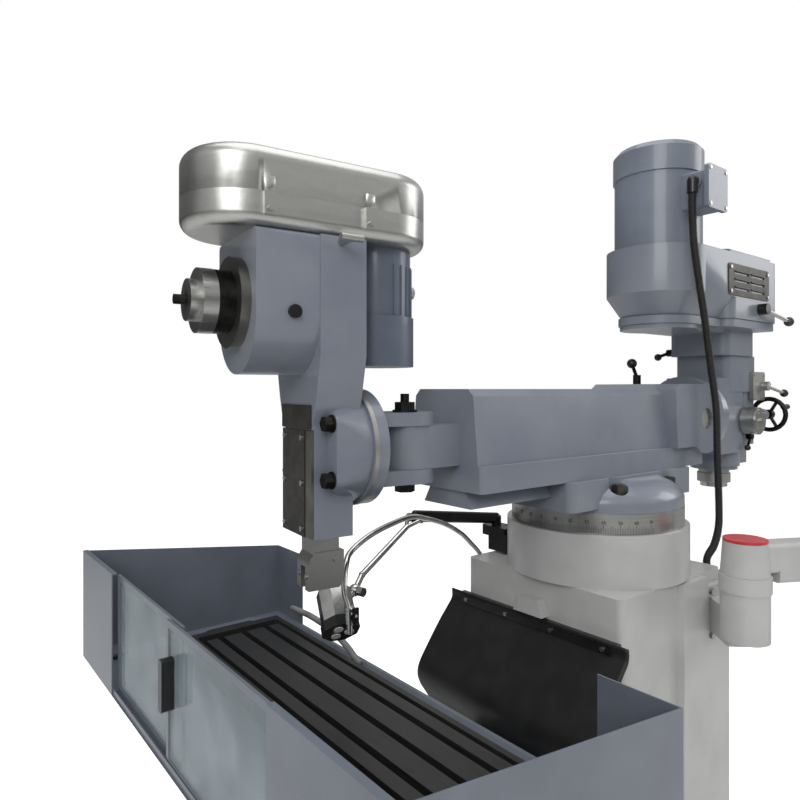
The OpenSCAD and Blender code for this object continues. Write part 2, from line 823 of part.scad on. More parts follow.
// Casting of the milling head, bored for the quill
module head_casting() {
    y0 = flange_y1 + 0.3;
    z0 = head_z - 164;
    color("#7e8593")
        difference() {
            union() {
                rod_y(flange_d / 2 - 3, 0, y0, y0 + 26, head_z);
                slab_z(-80, 80, y0 + 20, spindle_y + 30, head_z - 110, collar_z, 18);
                rod_z(66, 0, spindle_y, z0, collar_z);
                rod_z(72, 0, spindle_y, z0 + 10, z0 + 60);
                slab_z(-82, 82, spindle_y - 81, spindle_y + 105, collar_z - 40, gear_z, 20);
                slab_z(-60, 78, spindle_y + 30, spindle_y + 104, head_z - 90, collar_z - 30, 14);
                slab_z(-12, 50, spindle_y + 50, spindle_y + 116, head_z - 150, head_z - 85, 10);
                rod_x(28, -92, -60, spindle_y + 40, head_z - 20);
                rod_x(34, 60, 85, spindle_y + 25, head_z - 16);
                rod_y(18, 95, spindle_y + 82, spindle_y + 118, head_z);
                block(60, 95, spindle_y + 84, spindle_y + 104, head_z - 16, head_z + 16);
            }
            rod_z(nose_d / 2 - 4 + run_gap, 0, spindle_y, z0 - 1, gear_z + 1);
            rod_x(10 + run_gap, -93, -30, spindle_y + 40, head_z - 20);
            rod_y(8 + run_gap, 95, spindle_y + 90, spindle_y + 119, head_z);
            block(15, 35, spindle_y + 92, spindle_y + 117, head_z - 146, head_z - 89);
        }
    color("#b9b9b6") {
        rod_z(6, 25, spindle_y + 105, head_z - 146, head_z - 89);
        rod_z(13, 25, spindle_y + 105, head_z - 132, head_z - 118);
        for (a = [45 : 90 : 315])
            translate([95 * cos(a), y0 + 26, head_z + 95 * sin(a)])
                rod_y(8, 0, -1, 8, 0);
    }
}

// Housing of the back gears
module gear_housing() {
    color("#7e8593")
        difference() {
            union() {
                slab_z(-90, 90, spindle_y - 105, spindle_y + 80, gear_z + 0.1, belt_z, 26);
                rod_z(100, 0, nod_y - 30, belt_z - 12, belt_z);
                slab_z(-80, 80, nod_y - 20, spindle_y - 90, belt_z - 12, belt_z, 10);
            }
            slab_z(-78, 78, spindle_y - 93, spindle_y + 68, gear_z + 10, belt_z - 8, 20);
            rod_z(nose_d / 2 - 4, 0, spindle_y, gear_z - 1, belt_z + 1);
        }
}

// Outline of the belt housing, inset from its outer wall
module belt_outline(inset) {
    translate([0, nod_y - 30])
        circle(r = 136 - inset);
    translate([-136 + inset, nod_y - 30])
        square([272 - 2 * inset, spindle_y + 125 - nod_y + 30 - inset - 30]);
    translate([0, 0])
        round_rect(-136 + inset, 136 - inset, spindle_y, spindle_y + 125 - inset, max(30 - inset, 4));
}

// The motor end of that outline, which narrows downward, and its straight spindle end
module belt_nose(inset) {
    translate([0, nod_y - 30])
        circle(r = 136 - inset);
    translate([-136 + inset, nod_y - 30])
        square([272 - 2 * inset, 146]);
}

module belt_end(inset)
    round_rect(-136 + inset, 136 - inset, nod_y + 114 + inset, spindle_y + 125 - inset, 30 - inset);

// Housing of the main belt with its raised lid and front box
module belt_housing() {
    color("#7e8593")
        difference() {
            union() {
                translate([0, 0, belt_seam_z + 58])
                    linear_extrude(belt_top - belt_seam_z - 58)
                        belt_outline(0);
                translate([0, 0, belt_seam_z])
                    linear_extrude(59)
                        belt_end(0);
                hull()
                    for (h = [0, 58])
                        translate([0, 0, belt_seam_z + h])
                            linear_extrude(0.5)
                                belt_nose(belt_taper * (1 - h / 58));
                translate([0, 0, belt_z + 0.1])
                    linear_extrude(belt_seam_z - belt_z - 2) {
                        belt_nose(belt_taper - 6);
                        belt_end(4);
                    }
                slab_z(-120, 120, nod_y + 120, spindle_y + 125, belt_top - 1, belt_top + 14, 24);
                slab_y(-60, 60, spindle_y + 120, spindle_y + 137, belt_z + 15, belt_z + 145, 10);
            }
            translate([0, 0, belt_seam_z + 70])
                linear_extrude(belt_top - belt_seam_z - 80)
                    belt_outline(14);
            translate([0, 0, belt_z + 10])
                linear_extrude(belt_seam_z - belt_z + 61)
                    belt_outline(belt_taper + 14);
            rod_z(26, 0, nod_y - 30, belt_top - 20, belt_top + 1);
        }
    color("#7e8593")
        translate([0, 0, belt_seam_z - 2.1])
            linear_extrude(2.3)
                difference() {
                    union() {
                        belt_nose(belt_taper + 2);
                        belt_end(6);
                    }
                    belt_outline(belt_taper + 12);
                }
}

// Louvred plate on the side of the belt housing
module vent_plate() {
    z0 = belt_z + 85;
    y0 = spindle_y - 197;
    color("#9aa0ac")
        difference() {
            slab_x(136.1, 139, y0, y0 + 251, z0, z0 + 88, 10);
            for (y = [y0 + 34, y0 + 134], z = [z0 + 16, z0 + 38, z0 + 60])
                slab_x(135, 140, y, y + 84, z, z + 9, 4);
        }
    color("#b9b9b6")
        for (y = [y0 + 11, y0 + 240], z = [z0 + 11, z0 + 77])
            rod_x(5, 138, 142, y, z);
    color("#9aa0ac")
        for (y = [y0 + 34, y0 + 134], z = [z0 + 16, z0 + 38, z0 + 60])
            prism_x(136.1, 142, [[y - 2, z + 9], [y + 86, z + 9], [y + 86, z + 6], [y - 2, z + 6]]);
}

// Main motor with its fan cap
module motor_body() {
    r = motor_d / 2;
    seam = motor_z + motor_h - 77;
    color("#9aa0ac") {
        rod_z(r, 0, nod_y - 30, motor_z - 2.9, seam - 2);
        rod_z(25.9, 0, nod_y - 30, motor_z - 60, motor_z);
    }
    color("#7e8593")
        translate([0, nod_y - 30, seam - 2])
            rotate_extrude()
                polygon([[0, 0], [r + 4, 0], [r + 4, 65], [r - 8, 79], [0, 79]]);
}

// Terminal box of the main motor with its lid and gland
module terminal_box() {
    z = motor_z + 81;
    y = nod_y - 87;
    color("#9aa0ac")
        difference() {
            union() {
                slab_x(motor_d / 2 - 20, 165, y, y + 86, z, z + 98, 8);
                slab_x(165, 177, y - 10, y + 90, z - 4, z + 107, 8);
            }
            rod_z(motor_d / 2 + 0.1, 0, nod_y - 30, z - 5, z + 110);
        }
    color("#161616") {
        rod_y(16, 140, y - 10, y + 1, z + 67);
        rod_y(13, 140, y - 24, y - 8, z + 67);
        ball(13, 140, y - 21, z + 67);
        rod_z(13, 140, y - 21, z + 36, z + 67);
    }
    color("#b9b9b6")
        for (dy = [0, 80], dz = [6, 97])
            rod_x(5, 176, 179, y + dy, z + dz);
}

// Plate of the feed selector on the head's side
module feed_plate() {
    color("#b9b9b6")
        slab_x(82.1, 94, spindle_y + 55, spindle_y + 135, head_z + 44, head_z + 131, 8);
    color("#4c4b49")
        for (y = [64, 126], z = [53, 122])
            rod_x(4, 93, 96, spindle_y + y, head_z + z);
}

// Drum of the quill's return spring
module spring_drum() {
    color("#b9b9b6") {
        rod_x(40.5, 85.1, 124, spindle_y + 25, head_z - 16);
        rod_x(35, 124, 128, spindle_y + 25, head_z - 16);
    }
    color("#4c4b49") {
        rod_x(9, 127, 134, spindle_y + 25, head_z - 16);
        for (a = [0 : 60 : 300])
            rotate_about_drum(a)
                rod_x(3, 127, 130, 26, 0);
    }
}

module rotate_about_drum(a)
    translate([0, spindle_y + 25, head_z - 16])
        rotate([a, 0, 0])
            children();

// Quill that slides in the head
module quill() {
    r = nose_d / 2;
    color("#b9b9b6")
        difference() {
            union() {
                rod_z(r - 4, 0, spindle_y, nose_z1 - 1, head_z + 80);
                rod_z(r, 0, spindle_y, nose_z0 + 14, nose_z1);
            }
            rod_z(25 + run_gap / 2, 0, spindle_y, nose_z0, head_z + 81);
            for (i = [0 : 14])
                block(-12, 12, spindle_y + r - 8, spindle_y + r, head_z - 100 + i * 10, head_z - 95 + i * 10);
        }
}

// Spindle that turns in the quill, with the bore for the tool
module spindle() {
    color("#c9c9c6")
        difference() {
            union() {
                rod_z(25, 0, spindle_y, nose_z0 + 12, head_z + 86);
                rod_z(38, 0, spindle_y, nose_z0, nose_z0 + 13.9);
                rod_z(14, 0, spindle_y, head_z + 85, head_z + 215);
            }
            rod_z(spindle_bore_d / 2, 0, spindle_y, nose_z0 - 1, nose_z0 + 101);
            rod_z(6, 0, spindle_y, nose_z0 + 100, head_z + 216);
            for (a = [0, 180])
                translate([0, spindle_y, nose_z0])
                    rotate([0, 0, a])
                        block(26, 39, -6, 6, -1, 7);
        }
}

// Small wheel of the fine feed
module fine_feed_wheel() {
    y = spindle_y + 161;
    color("#4c4b49") {
        rod_y(8, 95, spindle_y + 92, y + 4, head_z);
        rod_y(15, 95, y - 14, y + 8, head_z);
        translate([95, y, head_z])
            rotate([90, 0, 0])
                rotate_extrude()
                    translate([48, 0])
                        circle(r = 7);
        for (a = [30 : 120 : 270])
            translate([95, y, head_z])
                rotate([0, a, 0])
                    rod_z(5, 0, 0, 10, 46);
    }
    color("#161616")
        rod_y(8, 95 + 40, y + 2, y + 34, head_z + 24);
}

// Lever that feeds the quill
module quill_lever() {
    y = spindle_y + 40;
    z = head_z - 20;
    color("#b9b9b6")
        rod_x(10, -132, -40, y, z);
    color("#4c4b49") {
        rod_x(22, -132, -94, y, z);
        link([-116, y, z], [-126, y + 92, z + 96], 7);
    }
    color("#161616")
        ball(15, -127, y + 97, z + 101);
}

// Lever that selects the feed
module feed_selector() {
    y = spindle_y + 115;
    z = head_z + 88;
    color("#4c4b49") {
        rod_x(14, 94.2, 114, y, z);
        link([108, y, z], [130, y + 64, z - 21], 5);
    }
    color("#161616")
        ball(12, 130, y + 68, z - 22);
}

// Lever of the spindle brake
module brake_lever() {
    y = spindle_y - 70;
    z = gear_z + 14;
    color("#4c4b49") {
        rod_x(11, -112, -90.1, y, z);
        link([-106, y, z], [-120, y - 36, z - 12], 5);
    }
    color("#161616")
        ball(11, -121, y - 40, z - 14);
}

// Crank that moves the motor to change the belt's step
module belt_crank() {
    y = spindle_y - 5;
    z = belt_z + 57;
    color("#b9b9b6") {
        rod_x(16, 136.1, 162, y, z);
        link([150, y, z], [166, y + 128, z - 29], 6);
    }
    color("#161616")
        ball(14, 166, y + 130, z - 29.5);
}

// Lever that trips the feed
module trip_lever() {
    y = spindle_y + 51;
    z = head_z - 64;
    color("#4c4b49") {
        rod_x(10, 78.1, 94, y, z);
        link([88, y, z], [91, y - 27, z - 30], 4);
    }
    color("#161616")
        ball(9, 92, y - 30, z - 33);
}

// The slotting head's own frame: its centre on the clevis bolt, forward is -Y
module at_slotter()
    translate([0, -clevis_reach, 0])
        rotate([0, 0, slotter_yaw])
            children();

// Clevis arms and disc that carry the slotting head
module slotter_adapter() {
    color("#7e8593")
        at_slotter()
            difference() {
                union() {
                    for (z = [[-72, -45.3], [36.3, 61]]) {
                        rod_z(56, 0, 0, tilt_z + z[0], tilt_z + z[1]);
                        block(-50, 50, -98, 0, tilt_z + z[0], tilt_z + z[1]);
                    }
                    rod_y(disc_d / 2, 0, -126, -96, tilt_z);
                }
                rod_z(12 + run_gap, 0, 0, tilt_z - 100, tilt_z + 100);
            }
    color("#b9b9b6")
        at_slotter()
            rod_y(disc_d / 2 + 1, 0, -125, -117, tilt_z);
}

// Casting of the slotting head: plate, slide box, neck and crank housing
module slotter_frame() {
    dial_z = tilt_z + 247;
    color("#7e8593")
        at_slotter()
            difference() {
                union() {
                    rod_y(disc_d / 2 - 5, 0, -slide_d0, -126.3, tilt_z);
                    hull() {
                        rod_y(disc_d / 2 - 5, 0, -140, -126.3, tilt_z);
                        for (x = [-82, 82], z = [-47, 47])
                            rod_y(17, x, -195, -184, tilt_z + z);
                    }
                    block(-slide_half, slide_half, -slide_d1, -slide_d0 + 1, tilt_z - 148, tilt_z + 37);
                    prism_y(-223, -138, [[-slide_half, tilt_z + 36], [-80, tilt_z + 92],
                        [-96, tilt_z + 160], [-96, slotter_top], [96, slotter_top], [96, tilt_z + 160],
                        [80, tilt_z + 92], [slide_half, tilt_z + 36]]);
                    rod_y(95, 0, -331, -222, tilt_z + 224);
                    slab_y(-95, 95, -331, -222, tilt_z + 224, slotter_top, 8);
                }
                block(-22, 22, -205.5, -151.5, tilt_z - 149, tilt_z + 60);
                block(-70, 70, -222, -152, tilt_z + 108, slotter_top - 20);
                block(-60, 60, -320, -221, tilt_z + 165, slotter_top - 20);
                block(-22, 22, -205.5, -151.5, tilt_z + 59, tilt_z + 109);
                rod_y(20 + run_gap, 0, -332, -300, dial_z);
            }
    color("#b9b9b6")
        at_slotter() {
            difference() {
                rod_y(75, 0, -347, -331.1, dial_z);
                rod_y(20 + run_gap, 0, -348, -330, dial_z);
            }
            rod_x(7, 96, 132, -185, slotter_top - 9);
            rod_y(6, 132, -205, -165, slotter_top - 9);
        }
    color("#161616")
        at_slotter() {
            rod_x(11, 95, 101, -268, tilt_z + 228);
            block(slide_half - 24, slide_half - 1, -slide_d1 - 5, -slide_d1 - 0.1, tilt_z - 146, tilt_z + 35);
        }
    color("#9aa0ac")
        at_slotter()
            block(-slide_half, slide_half - 1, -226, -223.1, tilt_z + 37, tilt_z + 78);
}

// Cover of the slide with its screws
module slide_cover() {
    x1 = slide_half - 26;
    color("#4f5560")
        at_slotter()
            block(-slide_half + 1, x1, -slide_d1 - 6, -slide_d1 - 0.1, tilt_z - 147, tilt_z + 35);
    color("#b9b9b6")
        at_slotter()
            for (x = [-slide_half + 12, x1 - 11], z = [-134, -56, 22])
                rod_y(5, x, -slide_d1 - 9, -slide_d1 - 5, tilt_z + z);
}

// Outline of the belt cover, inset from its outer wall
module cover_outline(inset) {
    for (d = [77, 321])
        translate([0, -d])
            circle(r = cover_r - inset);
    translate([-cover_r + inset, -321])
        square([2 * (cover_r - inset), 244]);
}

// Lower half of the slotting head's belt cover, with the latches
module belt_cover_bottom() {
    foot_edge = 20;
    color("#7e8593")
        at_slotter()
            translate([0, 0, slotter_top + 0.1])
                difference() {
                    hull()
                        for (d = [77, 321])
                            translate([0, -d])
                                rotate_extrude($fn = 72) {
                                    square([cover_r - foot_edge, 53]);
                                    translate([0, foot_edge])
                                        square([cover_r, 53 - foot_edge]);
                                    translate([cover_r - foot_edge, foot_edge])
                                        intersection() {
                                            circle(r = foot_edge, $fn = 48);
                                            translate([0, -foot_edge])
                                                square(foot_edge);
                                        }
                                }
                    translate([0, 0, 6])
                        linear_extrude(60)
                            cover_outline(14);
                }
    color("#b9b9b6")
        at_slotter()
            for (d = [312, 135]) {
                block(cover_r - 3, cover_r + 8, -d - 10, -d + 10, slotter_top + 16, slotter_top + 52);
                rod_x(5, cover_r + 7, cover_r + 14, -d, slotter_top + 26);
            }
}

// Upper half of the belt cover with round edges
module belt_cover_top() {
    z0 = slotter_top + 53.2;
    edge = 26;
    color("#7e8593")
        at_slotter()
            difference() {
                hull()
                    for (d = [77, 321])
                        translate([0, -d, z0])
                            rotate_extrude($fn = 72) {
                                square([cover_r, 77 - edge]);
                                square([cover_r - edge, 77]);
                                intersection() {
                                    translate([cover_r - edge, 77 - edge])
                                        circle(r = edge, $fn = 48);
                                    square([cover_r, 77]);
                                }
                            }
                translate([0, 0, z0 - 1])
                    linear_extrude(54)
                        cover_outline(8);
            }
    color("#b9b9b6")
        at_slotter()
            for (d = [312, 135])
                block(cover_r - 0.5, cover_r + 6, -d - 8, -d + 8, z0 + 0.2, z0 + 22);
}

// Motor of the slotting head with its fan cover
module slotter_motor() {
    z = slotter_top;
    color("#9aa0ac")
        at_slotter() {
            rod_z(64, 0, -64, z - 121, z - 0.1);
            block(-40, 40, -137.9, -100, z - 102, z - 12);
            for (a = [90 : 15 : 270])
                translate([0, -64, z - 118])
                    rotate([0, 0, a - 90])
                        block(62, 67, -1.5, 1.5, 0, 90);
        }
    color("#4f5560")
        at_slotter()
            rod_z(70, 0, -64, z - 211, z - 121);
    color("#161616")
        at_slotter()
            rod_y(12, 0, -5, 16, z - 67);
}

// Four bolts that lock the slotting head's tilt
module slotter_bolts() {
    color("#4c4b49")
        at_slotter()
            for (x = [-82, 82], z = [-47, 47])
                translate([x, -195.1, tilt_z + z])
                    rotate([90, 0, 0]) {
                        cylinder(r = 15, h = 3);
                        translate([0, 0, 2.9])
                            cylinder(d = 24 / cos(30), h = 14, $fn = 6);
                    }
}

// Dial and shaft of the stroke crank
module crank_dial() {
    z = tilt_z + 247;
    color("#4c4b49")
        at_slotter() {
            rod_y(52, 0, -374, -347.2, z);
            rod_y(20, 0, -348, -240, z);
            rod_y(58, 0, -262, -240, z);
            rod_y(9, 40, -241, -214, z);
        }
    color("#b9b9b6")
        at_slotter() {
            difference() {
                rod_y(52.5, 0, -398, -373.9, z);
                for (a = [0 : 15 : 345])
                    translate([0, 0, z])
                        rotate([0, a, 0])
                            block(51.8, 54, -399, -388, -0.6, 0.6);
            }
            rod_y(34, 0, -413, -397, z);
        }
    color("#161616")
        at_slotter()
            rod_y(8, 0, -432, -412, z);
}

// Slotting ram with the tool block at its foot
module slotter_ram() {
    low = tilt_z - 245;
    color("#b9b9b6")
        at_slotter() {
            block(-21, 21, -205, -152, low + 64, tilt_z + 90);
            difference() {
                prism_x(-25, 25, [[-212, low], [-152, low], [-144, low + 12], [-144, low + 65],
                    [-202, low + 65], [-212, low + 50]]);
                block(-9, 9, -213, -176, low - 1, low + 40);
                for (z = [14, 32])
                    rod_y(4, 0, -177, -160, low + z);
            }
        }
    color("#4c4b49")
        at_slotter() {
            rod_x(5, -28, 28, -160, low + 50);
            for (x = [-15, 15])
                rod_y(4, x, -215, -211, low + 24);
        }
}

// Lamp arm that swings on its bracket
module lamp_arm() {
    color("#161616") {
        hull()
            for (at = [lamp_base, lamp_elbow], up = [-1, 11])
                translate(at + [0, 0, up])
                    sphere(r = 9, $fn = 32);
        rod_z(13, lamp_base[0], lamp_base[1], lamp_base[2] - 11.8, lamp_base[2] + 12);
        rod_z(8, lamp_base[0], lamp_base[1], lamp_base[2] - 38, lamp_base[2]);
        ball(13, lamp_elbow[0], lamp_elbow[1], lamp_elbow[2]);
    }
    color("#b9b9b6")
        rod_z(7, lamp_base[0], lamp_base[1], lamp_base[2] + 11, lamp_base[2] + 17);
}

// Turns a pin along X to lie across the lamp rod
lamp_turn = atan2(lamp_knee[1] - lamp_elbow[1], lamp_knee[0] - lamp_elbow[0]) + 90;

module across_lamp(at)
    translate(at)
        rotate([0, 0, lamp_turn])
            children();

// Lamp rod with the cheeks of its elbow and the knob
module lamp_rod() {
    dir = (lamp_knee - lamp_elbow) / norm(lamp_knee - lamp_elbow);
    color("#161616") {
        link(lamp_elbow + 36 * dir, lamp_knee, 7);
        ball(8, lamp_knee[0], lamp_knee[1], lamp_knee[2]);
        link(lamp_knee, lamp_knob, 7);
        ball(14, lamp_knob[0], lamp_knob[1], lamp_knob[2]);
        across_lamp(lamp_elbow)
            for (x = [-22, 14.2])
                rod_x(11, x, x + 8, 0, 0);
        for (side = [-19, 19])
            link(lamp_elbow + side * [cos(lamp_turn), sin(lamp_turn), 0] + 8 * dir,
                lamp_elbow + 40 * dir, 5);
    }
    color("#b9b9b6") {
        across_lamp(lamp_elbow)
            rod_x(6, 22, 26, 0, 0);
        across_lamp(lamp_knob)
            rod_x(10, 12, 26, 0, 0);
    }
}

// Lamp head with its bezel and three lights
module lamp_head() {
    back = lamp_center - 44 * lamp_aim;
    front = lamp_center + 40 * lamp_aim;
    r = lamp_d / 2;
    color("#161616") {
        lamp_can(back, 72, r);
        link(lamp_knob + 14.3 * (lamp_center - lamp_knob) / norm(lamp_center - lamp_knob), lamp_center, 8);
        lamp_can(lamp_center + 26 * lamp_aim, 22, r + 3);
    }
    color("#e8e8e0")
        translate(lamp_center + 46 * lamp_aim)
            aim_lamp()
                for (a = [90 : 120 : 330])
                    rotate([0, 0, a])
                        translate([17, 0, 0])
                            cylinder(r = 10, h = 4);
}

module aim_lamp()
    rotate([0, acos(lamp_aim[2] / norm(lamp_aim)), atan2(lamp_aim[1], lamp_aim[0])])
        children();

module lamp_can(at, len, r)
    translate(at)
        aim_lamp()
            rotate([0, 0, 22.5])
                cylinder(r = r, h = len, $fn = 8);

// Arm of the pendant with its red cap
module pendant_arm() {
    band = post_z + 142;
    color("#9aa0ac") {
        translate([post_x, post_y, 0])
            rotate_extrude()
                polygon([[0, band + 0.3], [50, band + 0.3], [45, post_top - 6], [0, post_top - 6]]);
        translate([post_x, post_y, 0])
            rotate([0, 0, 90 + arm_turn]) {
                slab_x(30, arm_l, -30, 30, band + 4, post_top - 9, 10);
                slab_x(62, arm_l, -30, 30, post_z + 124, band + 40, 10);
                rod_z(34, arm_l, 0, post_z + 112, post_top - 9);
            }
    }
    color("#c8373d")
        rod_z(45, post_x, post_y, post_top - 5.9, post_top);
    color("#b9b9b6")
        rod_z(20, post_x, post_y, post_z + 40, band + 1);
}

// Place of the control box at the arm's end
module at_box()
    translate([post_x + arm_l * cos(90 + arm_turn), post_y + arm_l * sin(90 + arm_turn), post_z])
        children();

// Control box that hangs from the arm
module control_box() {
    half = box_w / 2;
    color("#9aa0ac")
        at_box() {
            rod_z(18, 0, 0, 80, 111.7);
            difference() {
                slab_z(-half, half, -60, 60, -215, 85, 12);
                block(-half + 4, half - 4, -56, 56, -211, 81);
                for (x = [-45, 45])
                    rod_y(11 + run_gap, x, -61, -50, -60);
            }
        }
    color("#4f5560")
        at_box()
            difference() {
                slab_y(-half + 10, half - 10, -63, -60.1, -200, 70, 6);
                for (x = [-45, 45])
                    rod_y(14, x, -64, -60, -60);
                slab_y(-60, 60, -64, -60, -20, 50, 4);
            }
    color("#161616")
        at_box() {
            slab_y(-59, 59, -61.5, -60.1, -19, 49, 4);
            for (x = [-50, 0, 50])
                rod_y(13, x, -78, -60.1, -140);
        }
}

// A sprung push button
module push_button(x) {
    rod_y(11, x, -72, -48, -60);
    rod_y(13, x, -74, -68, -60);
}

module start_button() {
    color("#2f8f46")
        at_box()
            push_button(-45);
}

module stop_button() {
    color("#c8373d")
        at_box()
            push_button(45);
}

base_plinth();
column_casting();
apron_strip();
apron_sheet();
electrical_cabinet();
pendant_bracket();
lamp_bracket();
coolant_pipe();
motor_cable();
knee_casting();
elevating_screw();
knee_crank();
saddle_casting();
cross_handwheel();
table();
splash_guard();
door_left();
door_right();
table_handwheels();
drain_hose();
turret_casting();
dial_ring();
turret_bolts();
ram_handle();
ram_casting();
clevis_bolt();
lock_lever();
head_adapter();
head_casting();
gear_housing();
belt_housing();
vent_plate();
motor_body();
terminal_box();
feed_plate();
spring_drum();
quill();
spindle();
fine_feed_wheel();
quill_lever();
feed_selector();
brake_lever();
belt_crank();
trip_lever();
slotter_adapter();
slotter_frame();
slide_cover();
belt_cover_bottom();
belt_cover_top();
slotter_motor();
slotter_bolts();
crank_dial();
slotter_ram();
lamp_arm();
lamp_rod();
lamp_head();
pendant_arm();
control_box();
start_button();
stop_button();
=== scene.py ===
# Dresses the universal milling machine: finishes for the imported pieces, and the
# cables, sheets, screws and markings that the camera sees.
import json
from math import radians, sin, cos, pi
import bpy
from mathutils import Vector, Matrix
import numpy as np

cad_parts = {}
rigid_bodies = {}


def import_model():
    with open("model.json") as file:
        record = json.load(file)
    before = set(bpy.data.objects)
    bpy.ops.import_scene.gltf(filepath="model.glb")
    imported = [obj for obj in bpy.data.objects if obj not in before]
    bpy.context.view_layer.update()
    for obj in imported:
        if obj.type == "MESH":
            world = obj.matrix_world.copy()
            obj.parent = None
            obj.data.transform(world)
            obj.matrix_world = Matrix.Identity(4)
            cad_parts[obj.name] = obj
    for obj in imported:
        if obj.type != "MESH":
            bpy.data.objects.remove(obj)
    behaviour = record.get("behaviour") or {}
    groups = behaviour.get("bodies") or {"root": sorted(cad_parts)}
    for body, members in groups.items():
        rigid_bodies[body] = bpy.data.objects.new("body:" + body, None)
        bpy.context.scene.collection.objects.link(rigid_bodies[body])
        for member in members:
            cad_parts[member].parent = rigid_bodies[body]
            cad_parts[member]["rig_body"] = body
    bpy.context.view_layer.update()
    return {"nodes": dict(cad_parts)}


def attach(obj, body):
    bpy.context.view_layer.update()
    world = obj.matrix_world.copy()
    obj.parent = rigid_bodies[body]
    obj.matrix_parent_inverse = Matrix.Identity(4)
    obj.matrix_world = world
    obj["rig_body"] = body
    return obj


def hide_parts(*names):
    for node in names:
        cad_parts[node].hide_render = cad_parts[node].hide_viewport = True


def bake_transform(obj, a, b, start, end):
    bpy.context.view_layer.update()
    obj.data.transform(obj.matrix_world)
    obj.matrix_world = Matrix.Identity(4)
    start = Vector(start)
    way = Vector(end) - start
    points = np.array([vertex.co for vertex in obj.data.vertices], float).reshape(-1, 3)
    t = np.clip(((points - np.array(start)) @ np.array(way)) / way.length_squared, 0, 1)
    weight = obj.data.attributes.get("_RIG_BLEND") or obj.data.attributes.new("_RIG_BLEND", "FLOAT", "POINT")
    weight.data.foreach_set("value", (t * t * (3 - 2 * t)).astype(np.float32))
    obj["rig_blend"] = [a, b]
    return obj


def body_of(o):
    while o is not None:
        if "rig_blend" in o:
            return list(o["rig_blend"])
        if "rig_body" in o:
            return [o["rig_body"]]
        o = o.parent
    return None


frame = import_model()
nodes = frame["nodes"]
bpy.ops.object.select_all(action="DESELECT")
print("frame loaded:", len(nodes), "nodes")

# the camera first: level, beside the table's right end, turned toward the heads
cameraPlace = {
    "location": (0.9771, -1.3912, 1.640),
    "heading": 51.85,        # degrees from +Y toward -X
    "focal": 29.16,          # mm on a 36 mm sensor
    "shiftDown": 11 / 800,   # the horizon lies 11 rows above the middle of 800
}


def addCamera(place):
    bpy.ops.object.camera_add(location=place["location"])
    camera = bpy.context.object
    camera.name = "photoCamera"
    camera.rotation_euler = (radians(90), 0, radians(place["heading"]))
    camera.data.lens = place["focal"]
    camera.data.sensor_width = 36
    camera.data.sensor_fit = "HORIZONTAL"
    camera.data.shift_y = -place["shiftDown"]
    camera.data.clip_start = 0.05
    bpy.context.scene.camera = camera
    return camera


addCamera(cameraPlace)


# colours are written as sRGB hex and turned to linear here
def linear(hexColor):
    parts = [int(hexColor[i:i + 2], 16) / 255 for i in (1, 3, 5)]
    return (*(p / 12.92 if p <= 0.04045 else ((p + 0.055) / 1.055) ** 2.4 for p in parts), 1.0)


# a shader node for a material or the world, its inputs given by name or, as i0 and i1, by place
def addNode(owner, kind, settings=None, **inputs):
    node = owner.node_tree.nodes.new(kind)
    for name, value in (settings or {}).items():
        setattr(node, name, value)
    for name, value in inputs.items():
        byPlace = name[0] == "i" and name[1:].isdigit()
        socket = node.inputs[int(name[1:]) if byPlace else name.replace("_", " ")]
        if isinstance(value, bpy.types.NodeSocket):
            owner.node_tree.links.new(value, socket)
        else:
            socket.default_value = value
    return node


def newMaterial(name, **shader):
    material = bpy.data.materials.new(name)
    material.use_nodes = True
    principled = material.node_tree.nodes["Principled BSDF"]
    for key, value in shader.items():
        principled.inputs[key.replace("_", " ")].default_value = value
    return material, principled


def joinTo(owner, socket, target):
    owner.node_tree.links.new(socket, target)


# noise over the piece's own coordinates: grain is the size of one blotch in millimetres
def grainNoise(material, grain, detail, stretch=(1, 1, 1)):
    place = addNode(material, "ShaderNodeTexCoord")
    spread = addNode(material, "ShaderNodeMapping", Vector=place.outputs["Object"], Scale=stretch)
    return addNode(material, "ShaderNodeTexNoise", Vector=spread.outputs["Vector"],
                   Scale=1000 / grain, Detail=detail, Roughness=0.55)


# two colours spread by a noise, between two of its levels
def mottled(material, noise, low, high, start=0.35, end=0.65):
    ramp = addNode(material, "ShaderNodeValToRGB", Fac=noise.outputs["Fac"])
    ramp.color_ramp.elements[0].position = start
    ramp.color_ramp.elements[0].color = linear(low)
    ramp.color_ramp.elements[1].position = end
    ramp.color_ramp.elements[1].color = linear(high)
    return ramp.outputs["Color"]


def bumped(material, principled, noise, height, strength):
    bump = addNode(material, "ShaderNodeBump", Height=noise.outputs["Fac"], Distance=height,
                   Strength=strength)
    joinTo(material, bump.outputs["Normal"], principled.inputs["Normal"])


def roughnessFrom(material, principled, noise, low, high):
    spread = addNode(material, "ShaderNodeMapRange", Value=noise.outputs["Fac"],
                     To_Min=low, To_Max=high)
    joinTo(material, spread.outputs["Result"], principled.inputs["Roughness"])


# Two-pack enamel over filled grey iron: sprayed, so an orange peel of a few
# millimetres runs under an even gloss, and broad patches are slightly duller.
def castingEnamel(name, low, high, gloss=0.26):
    material, principled = newMaterial(name, IOR=1.5, Coat_Weight=0.35, Coat_Roughness=0.08)
    patches = grainNoise(material, 140, 4.0)
    peel = grainNoise(material, 5.5, 2.0)
    joinTo(material, mottled(material, patches, low, high), principled.inputs["Base Color"])
    roughnessFrom(material, principled, patches, gloss, gloss + 0.12)
    bumped(material, principled, peel, 0.00025, 0.5)
    return material


